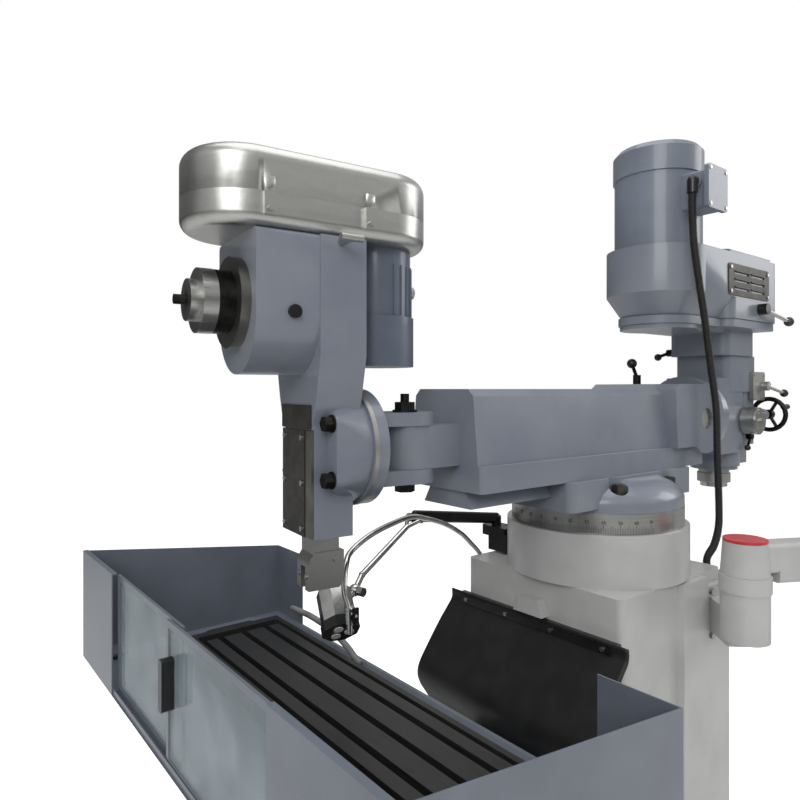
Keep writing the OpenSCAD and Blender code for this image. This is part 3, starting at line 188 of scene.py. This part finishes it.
# Cold-rolled steel, ground or turned: fine lines along one way, grey with a tinge.
def workedSteel(name, low, high, lines, grain, rough):
    material, principled = newMaterial(name, Metallic=1.0)
    streaks = grainNoise(material, grain, 6.0, lines)
    cloud = grainNoise(material, 60, 3.0)
    joinTo(material, mottled(material, streaks, low, high, 0.3, 0.7),
           principled.inputs["Base Color"])
    roughnessFrom(material, principled, cloud, rough, rough + 0.16)
    bumped(material, principled, streaks, 0.00006, 0.6)
    return material


# Stainless sheet, deep drawn and then polished by hand: soft waves and fine scratches.
def polishedSheet(name):
    material, principled = newMaterial(name, Metallic=1.0)
    waves = grainNoise(material, 95, 2.0, (1, 1, 2.4))
    scratch = grainNoise(material, 3.0, 5.0, (1, 1, 26))
    joinTo(material, mottled(material, scratch, "#a9a9a6", "#cfcfcb", 0.25, 0.75),
           principled.inputs["Base Color"])
    roughnessFrom(material, principled, scratch, 0.24, 0.42)
    bumped(material, principled, waves, 0.0016, 0.55)
    return material


# Rubber or vinyl sheet, calendered: nearly black, with a dusty bloom and a fine grain.
def blackRubber(name, low="#0e0e0e", high="#1a1a1a", rough=0.46):
    material, principled = newMaterial(name, IOR=1.52, Specular_IOR_Level=0.45)
    bloom = grainNoise(material, 45, 5.0)
    grain = grainNoise(material, 1.6, 2.0)
    joinTo(material, mottled(material, bloom, low, high), principled.inputs["Base Color"])
    roughnessFrom(material, principled, bloom, rough, rough + 0.2)
    bumped(material, principled, grain, 0.0002, 0.35)
    return material


# Moulded plastic: knobs, caps and buttons, even in colour with a light moulded grain.
def mouldedPlastic(name, low, high, rough=0.3):
    material, principled = newMaterial(name, IOR=1.49, Coat_Weight=0.15)
    cloud = grainNoise(material, 30, 3.0)
    grain = grainNoise(material, 0.9, 1.0)
    joinTo(material, mottled(material, cloud, low, high), principled.inputs["Base Color"])
    roughnessFrom(material, principled, cloud, rough, rough + 0.1)
    bumped(material, principled, grain, 0.0001, 0.3)
    return material


# Ground and oiled grey iron: dark, with grinding lines along the table.
def groundIron(name):
    material, principled = newMaterial(name, Metallic=0.6)
    lines = grainNoise(material, 4.0, 6.0, (0.05, 6, 1))
    oil = grainNoise(material, 110, 4.0)
    joinTo(material, mottled(material, lines, "#333332", "#505050", 0.3, 0.7),
           principled.inputs["Base Color"])
    roughnessFrom(material, principled, oil, 0.26, 0.48)
    bumped(material, principled, lines, 0.00008, 0.5)
    return material


# Clear acrylic sheet with a slight smoke tint.
def clearSheet(name):
    material, principled = newMaterial(name, IOR=1.49, Roughness=0.06, Alpha=0.38)
    haze = grainNoise(material, 80, 3.0)
    joinTo(material, mottled(material, haze, "#93a2a9", "#b4c2c8"), principled.inputs["Base Color"])
    return material


finish = {
    "greyEnamel": castingEnamel("greyEnamel", "#767c88", "#80868f"),
    "guardEnamel": castingEnamel("guardEnamel", "#626973", "#6d747f", 0.34),
    "columnEnamel": castingEnamel("columnEnamel", "#b3b3b1", "#bfbfbd", 0.34),
    "motorEnamel": castingEnamel("motorEnamel", "#6a717d", "#777e8b", 0.32),
    "slotMotorEnamel": castingEnamel("slotMotorEnamel", "#535b68", "#606876", 0.3),
    "drawnStainless": polishedSheet("drawnStainless"),
    "groundSteel": workedSteel("groundSteel", "#a2a29f", "#bdbdb9", (1, 1, 40), 9, 0.36),
    "turnedSteel": workedSteel("turnedSteel", "#a3a3a0", "#b8b8b4", (0.05, 0.05, 9), 7, 0.24),
    "blackedSteel": workedSteel("blackedSteel", "#232322", "#3b3a38", (1, 1, 1), 20, 0.38),
    "facedDisc": workedSteel("facedDisc", "#6d6c69", "#86857f", (1, 1, 1), 40, 0.3),
    "scrapedPlate": workedSteel("scrapedPlate", "#4b4a48", "#63615d", (1, 1, 1), 26, 0.4),
    "brightPipe": workedSteel("brightPipe", "#b9b9b6", "#dededa", (1, 1, 1), 40, 0.12),
    "groundIron": groundIron("groundIron"),
    "blackRubber": blackRubber("blackRubber"),
    "greyHose": blackRubber("greyHose", "#6c6e70", "#868889", 0.42),
    "blackPlastic": mouldedPlastic("blackPlastic", "#111111", "#1c1c1c", 0.28),
    "redPlastic": mouldedPlastic("redPlastic", "#bd2f36", "#cf434a"),
    "greenPlastic": mouldedPlastic("greenPlastic", "#2c8a43", "#38994f"),
    "clearSheet": clearSheet("clearSheet"),
    "lampLens": mouldedPlastic("lampLens", "#d9d9d3", "#ecece6", 0.12),
}

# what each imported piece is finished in, and how far its edges are broken in mm
nodeFinish = {
    "base_plinth": ("greyEnamel", 5), "column_casting": ("columnEnamel", 14),
    "apron_strip": ("blackPlastic", 0.5), "electrical_cabinet": ("columnEnamel", 1.5),
    "pendant_bracket": ("columnEnamel", 3), "lamp_bracket": ("blackPlastic", 1.5),
    "knee_casting": ("greyEnamel", 3), "elevating_screw": ("groundSteel", 0.8),
    "knee_crank": ("blackedSteel", 1), "saddle_casting": ("greyEnamel", 2.5),
    "cross_handwheel": ("turnedSteel", 0.8), "table": ("groundIron", 0.8),
    "splash_guard": ("guardEnamel", 0.4), "door_left": ("guardEnamel", 0.4),
    "door_right": ("guardEnamel", 0.4), "table_handwheels": ("turnedSteel", 0.8),
    "turret_casting": ("greyEnamel", 3), "dial_ring": ("turnedSteel", 0.5),
    "turret_bolts": ("scrapedPlate", 0.8), "ram_handle": ("blackedSteel", 0.8),
    "ram_casting": ("greyEnamel", 5), "clevis_bolt": ("blackedSteel", 0.8),
    "lock_lever": ("blackedSteel", 0.8), "head_adapter": ("greyEnamel", 3),
    "head_casting": ("greyEnamel", 3), "gear_housing": ("greyEnamel", 4),
    "belt_housing": ("greyEnamel", 4), "vent_plate": ("scrapedPlate", 0.3),
    "motor_body": ("motorEnamel", 3), "terminal_box": ("motorEnamel", 2),
    "feed_plate": ("groundSteel", 0.6), "spring_drum": ("turnedSteel", 0.8),
    "quill": ("groundSteel", 0.8), "spindle": ("brightPipe", 0.8),
    "fine_feed_wheel": ("blackedSteel", 0.5), "quill_lever": ("blackedSteel", 0.6),
    "feed_selector": ("groundSteel", 0.5), "brake_lever": ("blackedSteel", 0.5),
    "belt_crank": ("turnedSteel", 0.6), "trip_lever": ("blackedSteel", 0.4),
    "slotter_adapter": ("greyEnamel", 3), "slotter_frame": ("greyEnamel", 4),
    "slide_cover": ("scrapedPlate", 0.8), "belt_cover_bottom": ("drawnStainless", 1.5),
    "belt_cover_top": ("drawnStainless", 0), "slotter_motor": ("slotMotorEnamel", 2),
    "slotter_bolts": ("blackedSteel", 0.8), "crank_dial": ("turnedSteel", 1),
    "slotter_ram": ("groundSteel", 1), "lamp_arm": ("blackPlastic", 1),
    "lamp_rod": ("brightPipe", 0.6), "lamp_head": ("blackPlastic", 0.8),
    "pendant_arm": ("columnEnamel", 2.5), "control_box": ("columnEnamel", 2.5),
    "start_button": ("greenPlastic", 0.8), "stop_button": ("redPlastic", 0.8),
}


creaseAngle = radians(38)    # edges flatter than this stay smooth
weldReach = 0.00002          # corners this close are one


# edges are broken by modifiers alone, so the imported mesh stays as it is
def breakEdges(piece, width):
    weld = piece.modifiers.new("weld", "WELD")
    weld.merge_threshold = weldReach
    if width:
        bevel = piece.modifiers.new("brokenEdges", "BEVEL")
        bevel.width = width / 1000
        bevel.segments = 2
        bevel.limit_method = "ANGLE"
        bevel.angle_limit = creaseAngle
        bevel.harden_normals = False
        bevel.use_clamp_overlap = True
    shade = piece.modifiers.new("evenShade", "WEIGHTED_NORMAL")
    shade.keep_sharp = True


# faces whose middle lies in a region take another finish
def faceFinish(piece, finishName, inside):
    piece.data.materials.append(finish[finishName])
    index = len(piece.data.materials) - 1
    for face in piece.data.polygons:
        if inside(face.center):
            face.material_index = index


def finishNodes():
    for name, (finishName, width) in nodeFinish.items():
        piece = nodes[name]
        piece.data.materials.clear()
        piece.data.materials.append(finish[finishName])
        for face in piece.data.polygons:
            face.use_smooth = True
            face.material_index = 0
        breakEdges(piece, width)


finishNodes()
print("finishes set")

# the slotting head stands turned about the clevis bolt: x to its right, d forward
slotterPlace = {"bolt": Vector((0, -0.612, 0)), "yaw": radians(-6)}
dialHeight = 1.782     # axis of the stroke dial
discHeight = 1.535     # axis of the head's graduated disc
tableMiddle = -0.147   # the table's middle along x


def toSlotter(point):
    turn = Matrix.Rotation(-slotterPlace["yaw"], 3, "Z")
    local = turn @ (Vector(point) - slotterPlace["bolt"])
    return local.x, -local.y, local.z


def near(center, radius):
    return lambda p: (p - Vector(center)).length < radius


def onSlotter(test):
    return lambda p: test(*toSlotter(p))


# between two depths, and within a radius of the stroke dial's axis when one is given
def aroundDial(start, end, within=9.0):
    return onSlotter(lambda x, d, z: start < d < end
                     and x * x + (z - dialHeight) ** 2 < within * within)


lampAim = Vector((0.674, -0.211, -0.70)).normalized()
lampCenter = Vector((-0.190, -0.645, 1.168))


def alongLamp(start, end):
    return lambda p: start < (p - lampCenter).dot(lampAim) < end


# middle and reach of each lever's ball
ballEnds = {
    "lock_lever": ((-0.090, 0.306, 1.714), 0.0145), "quill_lever": ((-0.127, 0.747, 1.642), 0.0155),
    "feed_selector": ((0.130, 0.793, 1.627), 0.0125),
    "brake_lever": ((-0.121, 0.500, 1.739), 0.0115),
    "trip_lever": ((0.092, 0.631, 1.464), 0.0095),
}
# Parts of a piece in another finish than the rest, told by where their faces lie, in metres.
# A later row goes over an earlier one.
regionFinish = [
    # screws of the way cover's strip
    ("apron_strip", "turnedSteel", lambda p: p.y < -0.2252),
    # grips of the ram's handle, the knee's crank and the handwheels
    ("ram_handle", "blackPlastic", lambda p: p.z > 1.47),
    ("knee_crank", "blackPlastic", lambda p: p.x < -0.168 and p.y < -0.955),
    ("table_handwheels", "blackPlastic",
     lambda p: abs(p.x - tableMiddle) > 0.716 and p.z < 0.82),
    ("cross_handwheel", "blackPlastic", lambda p: p.y < -1.1 and p.z < 0.70),
    # hub and ball of the belt crank
    ("belt_crank", "blackPlastic",
     lambda p: p.x < 0.1621 and (p.y - 0.605) ** 2 + (p.z - 1.872) ** 2 < 0.0002722),
    ("belt_crank", "scrapedPlate", near((0.166, 0.735, 1.8425), 0.0145)),
    # pane and handle of each door
    ("door_left", "clearSheet", lambda p: abs(abs(p.y + 0.999) - 0.002) < 0.0002),
    ("door_left", "blackPlastic", lambda p: p.y > -0.9959),
    ("door_right", "clearSheet", lambda p: abs(abs(p.y + 1.0068) - 0.002) < 0.0002),
    ("door_right", "blackPlastic", lambda p: p.y < -1.0099),
    # dark disc behind the stroke dial, its nut, and the faced disc of the housing
    ("crank_dial", "blackedSteel", aroundDial(0.300, 0.3741)),
    ("crank_dial", "blackedSteel", aroundDial(0.4129, 0.5, 0.02)),
    ("slotter_frame", "facedDisc", aroundDial(0.33105, 0.36, 0.08)),
    # plug, nameplate, stroke lever and slide face of the slotting head
    ("slotter_frame", "blackPlastic", onSlotter(
        lambda x, d, z: x > 0.0951 and (d - 0.268) ** 2 + (z - 1.763) ** 2 < 0.000144)),
    ("slotter_frame", "scrapedPlate", onSlotter(
        lambda x, d, z: d > 0.2235 and 1.5719 < z < 1.6131)),
    ("slotter_frame", "groundSteel", onSlotter(lambda x, d, z: x > 0.0961 and z > 1.86)),
    ("slotter_frame", "facedDisc", onSlotter(lambda x, d, z: d > 0.2191 and z < 1.571)),
    # screws of the slide's cover, knob behind the motor, and rim of the graduated disc
    ("slide_cover", "turnedSteel", onSlotter(lambda x, d, z: d > 0.22505)),
    ("slotter_motor", "groundSteel", onSlotter(
        lambda x, d, z: d < -0.0005 and abs(z - 1.825) < 0.0125)),
    ("slotter_adapter", "groundSteel", onSlotter(
        lambda x, d, z: 0.1165 < d < 0.1255 and x ** 2 + (z - discHeight) ** 2 > 0.1053 ** 2)),
    # gland of the terminal box and screws of its lid
    ("terminal_box", "blackPlastic", lambda p: p.y < 0.2225),
    ("terminal_box", "turnedSteel", lambda p: p.x > 0.1771),
    # cap of the pendant's post and screws of its foot
    ("pendant_arm", "redPlastic", lambda p: p.z > 1.3081),
    ("pendant_bracket", "turnedSteel", lambda p: p.x > 0.2192 and p.x < 0.2275 and p.y > 0.13),
    # can and lenses of the lamp
    ("lamp_head", "brightPipe", alongLamp(-0.0445, 0.0255)),
    ("lamp_head", "lampLens", alongLamp(0.0481, 0.06)),
    # face of the control box; gland and handle of the cabinet
    ("control_box", "blackPlastic", lambda p: p.y < 0.5075),
    ("electrical_cabinet", "blackPlastic", lambda p: p.z > 1.04 or p.y > 0.4105),
    # the quill's stop, screws of the vent plate, boss of the ram's pinion, nod pin, lamp's pivot
    ("head_casting", "turnedSteel",
     lambda p: p.y > 0.705 and abs(p.x - 0.025) < 0.0135 and p.z < 1.475),
    ("vent_plate", "turnedSteel", lambda p: p.x > 0.13905 and (p.y < 0.43 or p.y > 0.648)),
    ("turret_casting", "groundSteel",
     lambda p: p.x < -0.19 and abs(p.y - 0.04) < 0.027 and p.z < 1.42),
    ("head_adapter", "groundSteel", lambda p: p.x > 0.0576 and abs(p.y - 0.32) < 0.03),
    ("lamp_arm", "turnedSteel", lambda p: p.z > 1.2915 and p.y > -0.09),
]


def finishRegions():
    for name, finishName, inside in regionFinish:
        faceFinish(nodes[name], finishName, inside)
    for name, (center, reach) in ballEnds.items():
        faceFinish(nodes[name], "blackPlastic", near(center, reach))


finishRegions()


def meshPiece(name, corners, faces, finishName, body, smooth=True):
    mesh = bpy.data.meshes.new(name)
    mesh.from_pydata([tuple(c) for c in corners], [], faces)
    mesh.update()
    piece = bpy.data.objects.new(name, mesh)
    bpy.context.scene.collection.objects.link(piece)
    mesh.materials.append(finish[finishName])
    for face in mesh.polygons:
        face.use_smooth = smooth
    if body:
        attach(piece, body)
    return piece


# a smooth curve through given points
def smoothRoute(points, steps=12):
    points = [Vector(p) for p in points]
    ends = [2 * points[0] - points[1]] + points + [2 * points[-1] - points[-2]]
    route = []
    for i in range(1, len(ends) - 2):
        a, b, c, d = ends[i - 1:i + 3]
        for k in range(steps):
            t = k / steps
            route.append(0.5 * (2 * b + (c - a) * t + (2 * a - 5 * b + 4 * c - d) * t * t
                                + (3 * b - 3 * c + d - a) * t ** 3))
    return route + [points[-1]]


def routeLength(route):
    return sum((b - a).length for a, b in zip(route, route[1:]))


def spacedRoute(route, gap):
    length = routeLength(route)
    count = max(2, round(length / gap))
    spaced, walked, i = [route[0]], 0.0, 0
    for k in range(1, count):
        goal = length * k / count
        while walked + (route[i + 1] - route[i]).length < goal:
            walked += (route[i + 1] - route[i]).length
            i += 1
        step = route[i + 1] - route[i]
        spaced.append(route[i] + step * ((goal - walked) / step.length))
    return spaced + [route[-1]]


# quads between rings of corners, with a lid over each end
def ringFaces(rings, sides):
    faces = []
    for i in range(rings - 1):
        for k in range(sides):
            a, b = i * sides + k, i * sides + (k + 1) % sides
            faces.append((a, b, b + sides, a + sides))
    faces.append(tuple(reversed(range(sides))))
    faces.append(tuple(range((rings - 1) * sides, rings * sides)))
    return faces


# rings swept along a route, each with its own radius, closed at both ends
def sweptTube(name, route, radii, sides, finishName):
    corners = []
    normal = Vector((1, 0, 0))
    for i, point in enumerate(route):
        along = (route[min(i + 1, len(route) - 1)] - route[max(i - 1, 0)]).normalized()
        normal = (normal - along * normal.dot(along)).normalized()
        side = along.cross(normal)
        for k in range(sides):
            turn = 2 * pi * k / sides
            corners.append(point + radii[i] * (cos(turn) * normal + sin(turn) * side))
    return meshPiece(name, corners, ringFaces(len(route), sides), finishName, None)


# the motor's corrugated conduit, one length for each joint that it crosses
conduit = {
    "radius": 0.0098, "ribPitch": 0.0048, "ribDepth": 0.0016, "ringsPerRib": 4, "sides": 20,
    "points": [(0.160, 0.252, 1.0842), (0.1605, 0.251, 1.120), (0.161, 0.250, 1.150),
               (0.162, 0.243, 1.207), (0.167, 0.270, 1.239), (0.165, 0.297, 1.279),
               (0.160, 0.311, 1.334), (0.155, 0.312, 1.477), (0.155, 0.306, 1.590),
               (0.150, 0.286, 1.705), (0.150, 0.253, 1.830), (0.150, 0.228, 1.909),
               (0.140, 0.220, 2.015), (0.140, 0.212, 2.098), (0.140, 0.212, 2.1388)],
    "lengths": [("conduitFoot", "column", "turret"), ("conduitLow", "turret", "ram"),
                ("conduitMiddle", "ram", "adapter"), ("conduitTop", "adapter", "head")],
    "cuts": (1.300, 1.420, 1.560),    # heights at which one length ends and the next starts
}


def addConduit(size):
    perRib = size["ringsPerRib"]
    rings = spacedRoute(smoothRoute(size["points"]), size["ribPitch"] / perRib)
    cuts = [min(range(len(rings)), key=lambda i: abs(rings[i].z - z)) for z in size["cuts"]]
    ends = [0, *cuts, len(rings) - 1]
    for (name, lower, upper), first, last in zip(size["lengths"], ends, ends[1:]):
        part = rings[first:last + 1]
        radii = [size["radius"] - (size["ribDepth"] if (first + i) % perRib < perRib / 2 else 0)
                 for i in range(len(part))]
        tube = sweptTube(name, part, radii, size["sides"], "blackRubber")
        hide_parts("motor_cable")
        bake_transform(tube, lower, upper, start=tuple(part[0]), end=tuple(part[-1]))


# grey coolant hose along the rear of the table, in a finely ribbed sleeve
hose = {
    "radius": 0.008, "sides": 18, "ringGap": 0.0022, "ribDepth": 0.0007, "ringsPerRib": 3,
    "points": [(-0.6345, -0.509, 1.028), (-0.588, -0.509, 1.031), (-0.535, -0.509, 1.033),
               (-0.483, -0.509, 1.031), (-0.445, -0.509, 1.028), (-0.410, -0.509, 1.022),
               (-0.380, -0.509, 1.014), (-0.350, -0.509, 1.004), (-0.325, -0.509, 0.992),
               (-0.299, -0.509, 0.982)],
}


def addHose(size):
    rings = spacedRoute(smoothRoute(size["points"]), size["ringGap"])
    radii = [size["radius"] - (size["ribDepth"] if i % size["ringsPerRib"] == 0 else 0)
             for i in range(len(rings))]
    tube = sweptTube("coolantHose", rings, radii, size["sides"], "greyHose")
    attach(tube, "table")
    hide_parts("drain_hose")


addConduit(conduit)
addHose(hose)
print("cords laid")


# coolant pipe: bright tube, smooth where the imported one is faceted
pipe = {
    "radius": 0.006, "sides": 24, "ringGap": 0.004,
    "points": [(-0.258, -0.148, 0.900), (-0.258, -0.148, 1.040), (-0.258, -0.148, 1.183),
               (-0.255, -0.156, 1.204), (-0.250, -0.187, 1.231), (-0.243, -0.230, 1.265),
               (-0.222, -0.303, 1.302), (-0.190, -0.397, 1.334), (-0.165, -0.470, 1.349),
               (-0.141, -0.580, 1.335), (-0.125, -0.650, 1.310), (-0.102, -0.680, 1.290),
               (-0.077, -0.700, 1.250), (-0.051, -0.705, 1.220)],
    # name, radius, foot and top of each turned fitting at the nozzle
    "fittings": [("valveBody", 0.009, 1.200, 1.226), ("valveCollar", 0.0105, 1.219, 1.2255),
                 ("nozzleTip", 0.0052, 1.174, 1.200), ("nozzleNut", 0.0075, 1.193, 1.201)],
    "edgeShare": 0.12,
    "tap": {"z": 1.214, "reach": 0.022, "stem": 0.003, "lever": (0.005, 0.014, 0.030),
            "leverEdge": 0.0016},
    "clips": (0.930, 1.140),
    "clipProfile": [(0, 0.0082), (0.0008, 0.009), (0.0132, 0.009), (0.014, 0.0082)],
}


# a turned piece from its profile: height along the axis and radius, foot first
def turnedRings(name, place, profile, finishName, body, sides=48, axis=(0, 0, 1)):
    along = Vector(axis).normalized()
    side = along.orthogonal().normalized()
    other = along.cross(side)
    corners = []
    for height, radius in profile:
        for k in range(sides):
            turn = 2 * pi * k / sides
            corners.append(Vector(place) + along * height
                           + radius * (cos(turn) * side + sin(turn) * other))
    piece = meshPiece(name, corners, ringFaces(len(profile), sides), finishName, body)
    sharp = piece.modifiers.new("crisp", "EDGE_SPLIT")
    sharp.split_angle = creaseAngle
    return piece


def addTapLever(x, y, tap):
    half = [v / 2 for v in tap["lever"]]
    at = Vector((x + tap["reach"] - half[0], y, tap["z"]))
    corners = [at + Vector((i * half[0], j * half[1], k * half[2]))
               for i in (-1, 1) for j in (-1, 1) for k in (-1, 1)]
    faces = [(0, 1, 3, 2), (4, 6, 7, 5), (0, 4, 5, 1), (2, 3, 7, 6), (0, 2, 6, 4), (1, 5, 7, 3)]
    lever = meshPiece("tapLever", corners, faces, "blackedSteel", "column", smooth=False)
    rounded = lever.modifiers.new("rounded", "BEVEL")
    rounded.width, rounded.segments = tap["leverEdge"], 3
    return lever


def addPipe(size):
    rings = spacedRoute(smoothRoute(size["points"]), size["ringGap"])
    tube = sweptTube("coolantTube", rings, [size["radius"]] * len(rings), size["sides"],
                     "brightPipe")
    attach(tube, "column")
    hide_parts("coolant_pipe")
    x, y = size["points"][-1][:2]
    pieces = []
    for name, radius, low, high in size["fittings"]:
        edge = radius * size["edgeShare"]
        profile = [(low, radius - edge), (low + edge, radius),
                   (high - edge, radius), (high, radius - edge)]
        pieces.append(turnedRings(name, (x, y, 0), profile, "brightPipe", "column"))
    tap = size["tap"]
    pieces.append(turnedRings("tapStem", (x, y, tap["z"]), [(0, tap["stem"]),
                              (tap["reach"], tap["stem"])], "brightPipe", "column",
                              axis=(1, 0, 0)))
    pieces.append(addTapLever(x, y, tap))
    for piece in pieces:
        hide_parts("coolant_pipe")
    for z in size["clips"]:
        turnedRings("pipeClip%d" % round(z * 1000), (*size["points"][0][:2], z),
                    size["clipProfile"], "turnedSteel", "column")


addPipe(pipe)
print("coolant pipe laid")

# rubber way cover behind the guard: one thick sheet from its strip down to the knee
apron = {
    "left": -0.290, "right": 0.232, "thick": 0.0045, "columns": 60, "rowGap": 0.007,
    "line": [(-0.2185, 1.112), (-0.2185, 1.088), (-0.235, 1.067), (-0.257, 1.042),
             (-0.285, 1.007), (-0.312, 0.972), (-0.327, 0.952), (-0.335, 0.936),
             (-0.337, 0.922), (-0.335, 0.909), (-0.326, 0.889), (-0.313, 0.870),
             (-0.295, 0.843)],
    # how far it swells, and its waves: turns across, turns down, share of the swell
    "swell": 0.0035, "waves": ((7.0, 0.09, 0.6), (17.0, -0.05, 0.25)),
}


def addApron(size):
    line = spacedRoute(smoothRoute([(0, y, z) for y, z in size["line"]]), size["rowGap"])
    columns, rows = size["columns"], len(line)
    corners, faces = [], []
    for i, point in enumerate(line):
        free = sin(pi * i / (rows - 1))
        for k in range(columns + 1):
            share = k / columns
            x = size["left"] + (size["right"] - size["left"]) * share
            wave = sum(sin(across * share + down * i) * part
                       for across, down, part in size["waves"])
            swell = size["swell"] * free * wave
            corners.append((x, point.y - abs(swell), point.z))
    for i in range(rows - 1):
        for k in range(columns):
            a = i * (columns + 1) + k
            faces.append((a, a + 1, a + columns + 2, a + columns + 1))
    sheet = meshPiece("apronRubber", corners, faces, "blackRubber", None)
    thick = sheet.modifiers.new("thick", "SOLIDIFY")
    thick.thickness, thick.offset = size["thick"], 0.0
    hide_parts("apron_sheet")
    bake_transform(sheet, "column", "knee", start=tuple(line[0]), end=tuple(line[-1]))


addApron(apron)
print("apron hung")


# numbers and fine lines engraved on the swivel scale, wrapped round its ring
scale = {
    "radius": 0.2067, "z": 1.342, "height": 0.0075, "every": 10, "last": 70,
    "lineFoot": 1.3196, "lineWidth": 0.00055, "lastLine": 72, "endLine": 90,
    # top of the line at each multiple of these degrees, the longest first
    "lineTops": ((90, 1.3615), (10, 1.340), (5, 1.3372), (1, 1.3335)),
}
typePerHeight = 1.4    # type size over the height of its figures


def addNumber(text, height, name):
    bpy.ops.object.text_add(location=(0, 0, 0))
    letters = bpy.context.object
    letters.name = name
    letters.data.body = text
    letters.data.size = height * typePerHeight
    letters.data.align_x = "CENTER"
    letters.data.resolution_u = 3
    bpy.ops.object.convert(target="MESH")
    return bpy.context.object


def addScaleNumbers(size):
    made = []
    for degrees in range(-size["last"], size["last"] + 1, size["every"]):
        name = "scaleNumber%d" % (degrees + 90)
        number = addNumber(str(abs(degrees)), size["height"], name)
        for vertex in number.data.vertices:
            turn = radians(degrees) + vertex.co.x / size["radius"]
            vertex.co = (size["radius"] * sin(turn), -size["radius"] * cos(turn),
                         size["z"] + vertex.co.y)
        made.append(number)
    corners, faces = [], []
    end = size["endLine"]
    for degrees in [*range(-size["lastLine"], size["lastLine"] + 1), end]:
        top = next(z for step, z in size["lineTops"]
                   if degrees % step == 0 and (step < end or degrees == end))
        for side in (-0.5, 0.5):
            turn = radians(degrees) + side * size["lineWidth"] / size["radius"]
            for z in (size["lineFoot"], top):
                corners.append((size["radius"] * sin(turn), -size["radius"] * cos(turn), z))
        first = len(corners) - 4
        faces.append((first, first + 2, first + 3, first + 1))
    made.append(meshPiece("scaleLines", corners, faces, "blackedSteel", None, smooth=False))
    bpy.ops.object.select_all(action="DESELECT")
    for number in made:
        number.select_set(True)
    bpy.context.view_layer.objects.active = made[0]
    bpy.ops.object.join()
    joined = bpy.context.object
    joined.name = "scaleMarks"
    joined.data.materials.clear()
    joined.data.materials.append(finish["blackedSteel"])
    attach(joined, body_of(nodes["dial_ring"])[0])


addScaleNumbers(scale)
print("scale numbered")

# floor, backdrop and the studio's soft lights
studio = {
    "floorSize": 60.0, "floor": "#f4f4f4", "floorGlow": 0.68,
    "lights": [
        ("keyLight", (3.2, -4.2, 4.2), (0, -0.3, 1.2), (3.0, 3.0), 120),
        ("fillLight", (-4.6, -3.0, 2.8), (0, -0.3, 1.3), (3.2, 3.2), 38),
        ("topLight", (0.2, -0.4, 5.2), (0, -0.4, 1.2), (3.6, 3.6), 70),
        ("rimLight", (2.6, 4.4, 3.6), (0, 0, 1.5), (2.6, 2.6), 60),
    ],
    # brightness of the room by height, from straight down to straight up, and the side
    # where its reflections darken
    "room": [(0.0, 0.34), (0.42, 0.26), (0.50, 0.10), (0.56, 0.16), (0.66, 0.62), (0.85, 0.50),
             (1.0, 0.34)],
    "darkSide": {"toward": (-0.966, -0.259, 0.0), "from": 0.45, "full": 0.72, "level": 0.28},
}


def addFloor(size):
    half = size["floorSize"] / 2
    corners = [(-half, -half, 0), (half, -half, 0), (half, half, 0), (-half, half, 0)]
    floor = meshPiece("floor", corners, [(0, 1, 2, 3)], "blackRubber", None, smooth=False)
    paint, principled = newMaterial("floorPaint", Roughness=0.9, Emission_Color=(1, 1, 1, 1))
    seen = addNode(paint, "ShaderNodeLightPath")
    glow = addNode(paint, "ShaderNodeMath", {"operation": "MULTIPLY"},
                   i0=seen.outputs["Is Camera Ray"], i1=size["floorGlow"])
    joinTo(paint, glow.outputs[0], principled.inputs["Emission Strength"])
    principled.inputs["Base Color"].default_value = linear(size["floor"])
    floor.data.materials[0] = paint


def addLights(size):
    for name, place, aim, area, power in size["lights"]:
        bpy.ops.object.light_add(type="AREA", location=place)
        light = bpy.context.object
        light.name = name
        light.data.shape = "RECTANGLE"
        light.data.size, light.data.size_y = area
        light.data.energy = power
        light.rotation_euler = (Vector(place) - Vector(aim)).to_track_quat("Z", "Y").to_euler()
        light.visible_glossy = name != "fillLight"


def addWorld(size):
    world = bpy.data.worlds.new("studioWorld")
    bpy.context.scene.world = world
    world.use_nodes = True
    back = world.node_tree.nodes["Background"]
    way = addNode(world, "ShaderNodeTexCoord").outputs["Generated"]
    split = addNode(world, "ShaderNodeSeparateXYZ", Vector=way)
    height = addNode(world, "ShaderNodeMapRange", Value=split.outputs["Z"], From_Min=-1)
    room = addNode(world, "ShaderNodeValToRGB", Fac=height.outputs["Result"])
    steps = room.color_ramp.elements
    for place, level in size["room"]:
        step = steps[0] if place == 0 else steps[-1] if place == 1 else steps.new(place)
        step.color = (level, level, level, 1)
    joinTo(world, room.outputs["Color"], back.inputs["Color"])
    dark = size["darkSide"]
    side = addNode(world, "ShaderNodeVectorMath", {"operation": "DOT_PRODUCT"},
                   i0=way, i1=dark["toward"])
    shade = addNode(world, "ShaderNodeMapRange", Value=side.outputs["Value"],
                    From_Min=dark["from"], From_Max=dark["full"],
                    To_Min=1.0, To_Max=dark["level"])
    joinTo(world, shade.outputs["Result"], back.inputs["Strength"])
    # the camera itself sees plain white behind the machine
    white = addNode(world, "ShaderNodeBackground", Color=(1, 1, 1, 1), Strength=1.0)
    ray = addNode(world, "ShaderNodeLightPath")
    mix = addNode(world, "ShaderNodeMixShader", Fac=ray.outputs["Is Camera Ray"],
                  i1=back.outputs["Background"], i2=white.outputs["Background"])
    joinTo(world, mix.outputs["Shader"], world.node_tree.nodes["World Output"].inputs["Surface"])


addFloor(studio)
addLights(studio)
addWorld(studio)
bpy.context.scene.view_settings.view_transform = "Standard"
bpy.context.scene.view_settings.look = "None"
print("studio lit")

bpy.context.view_layer.update()
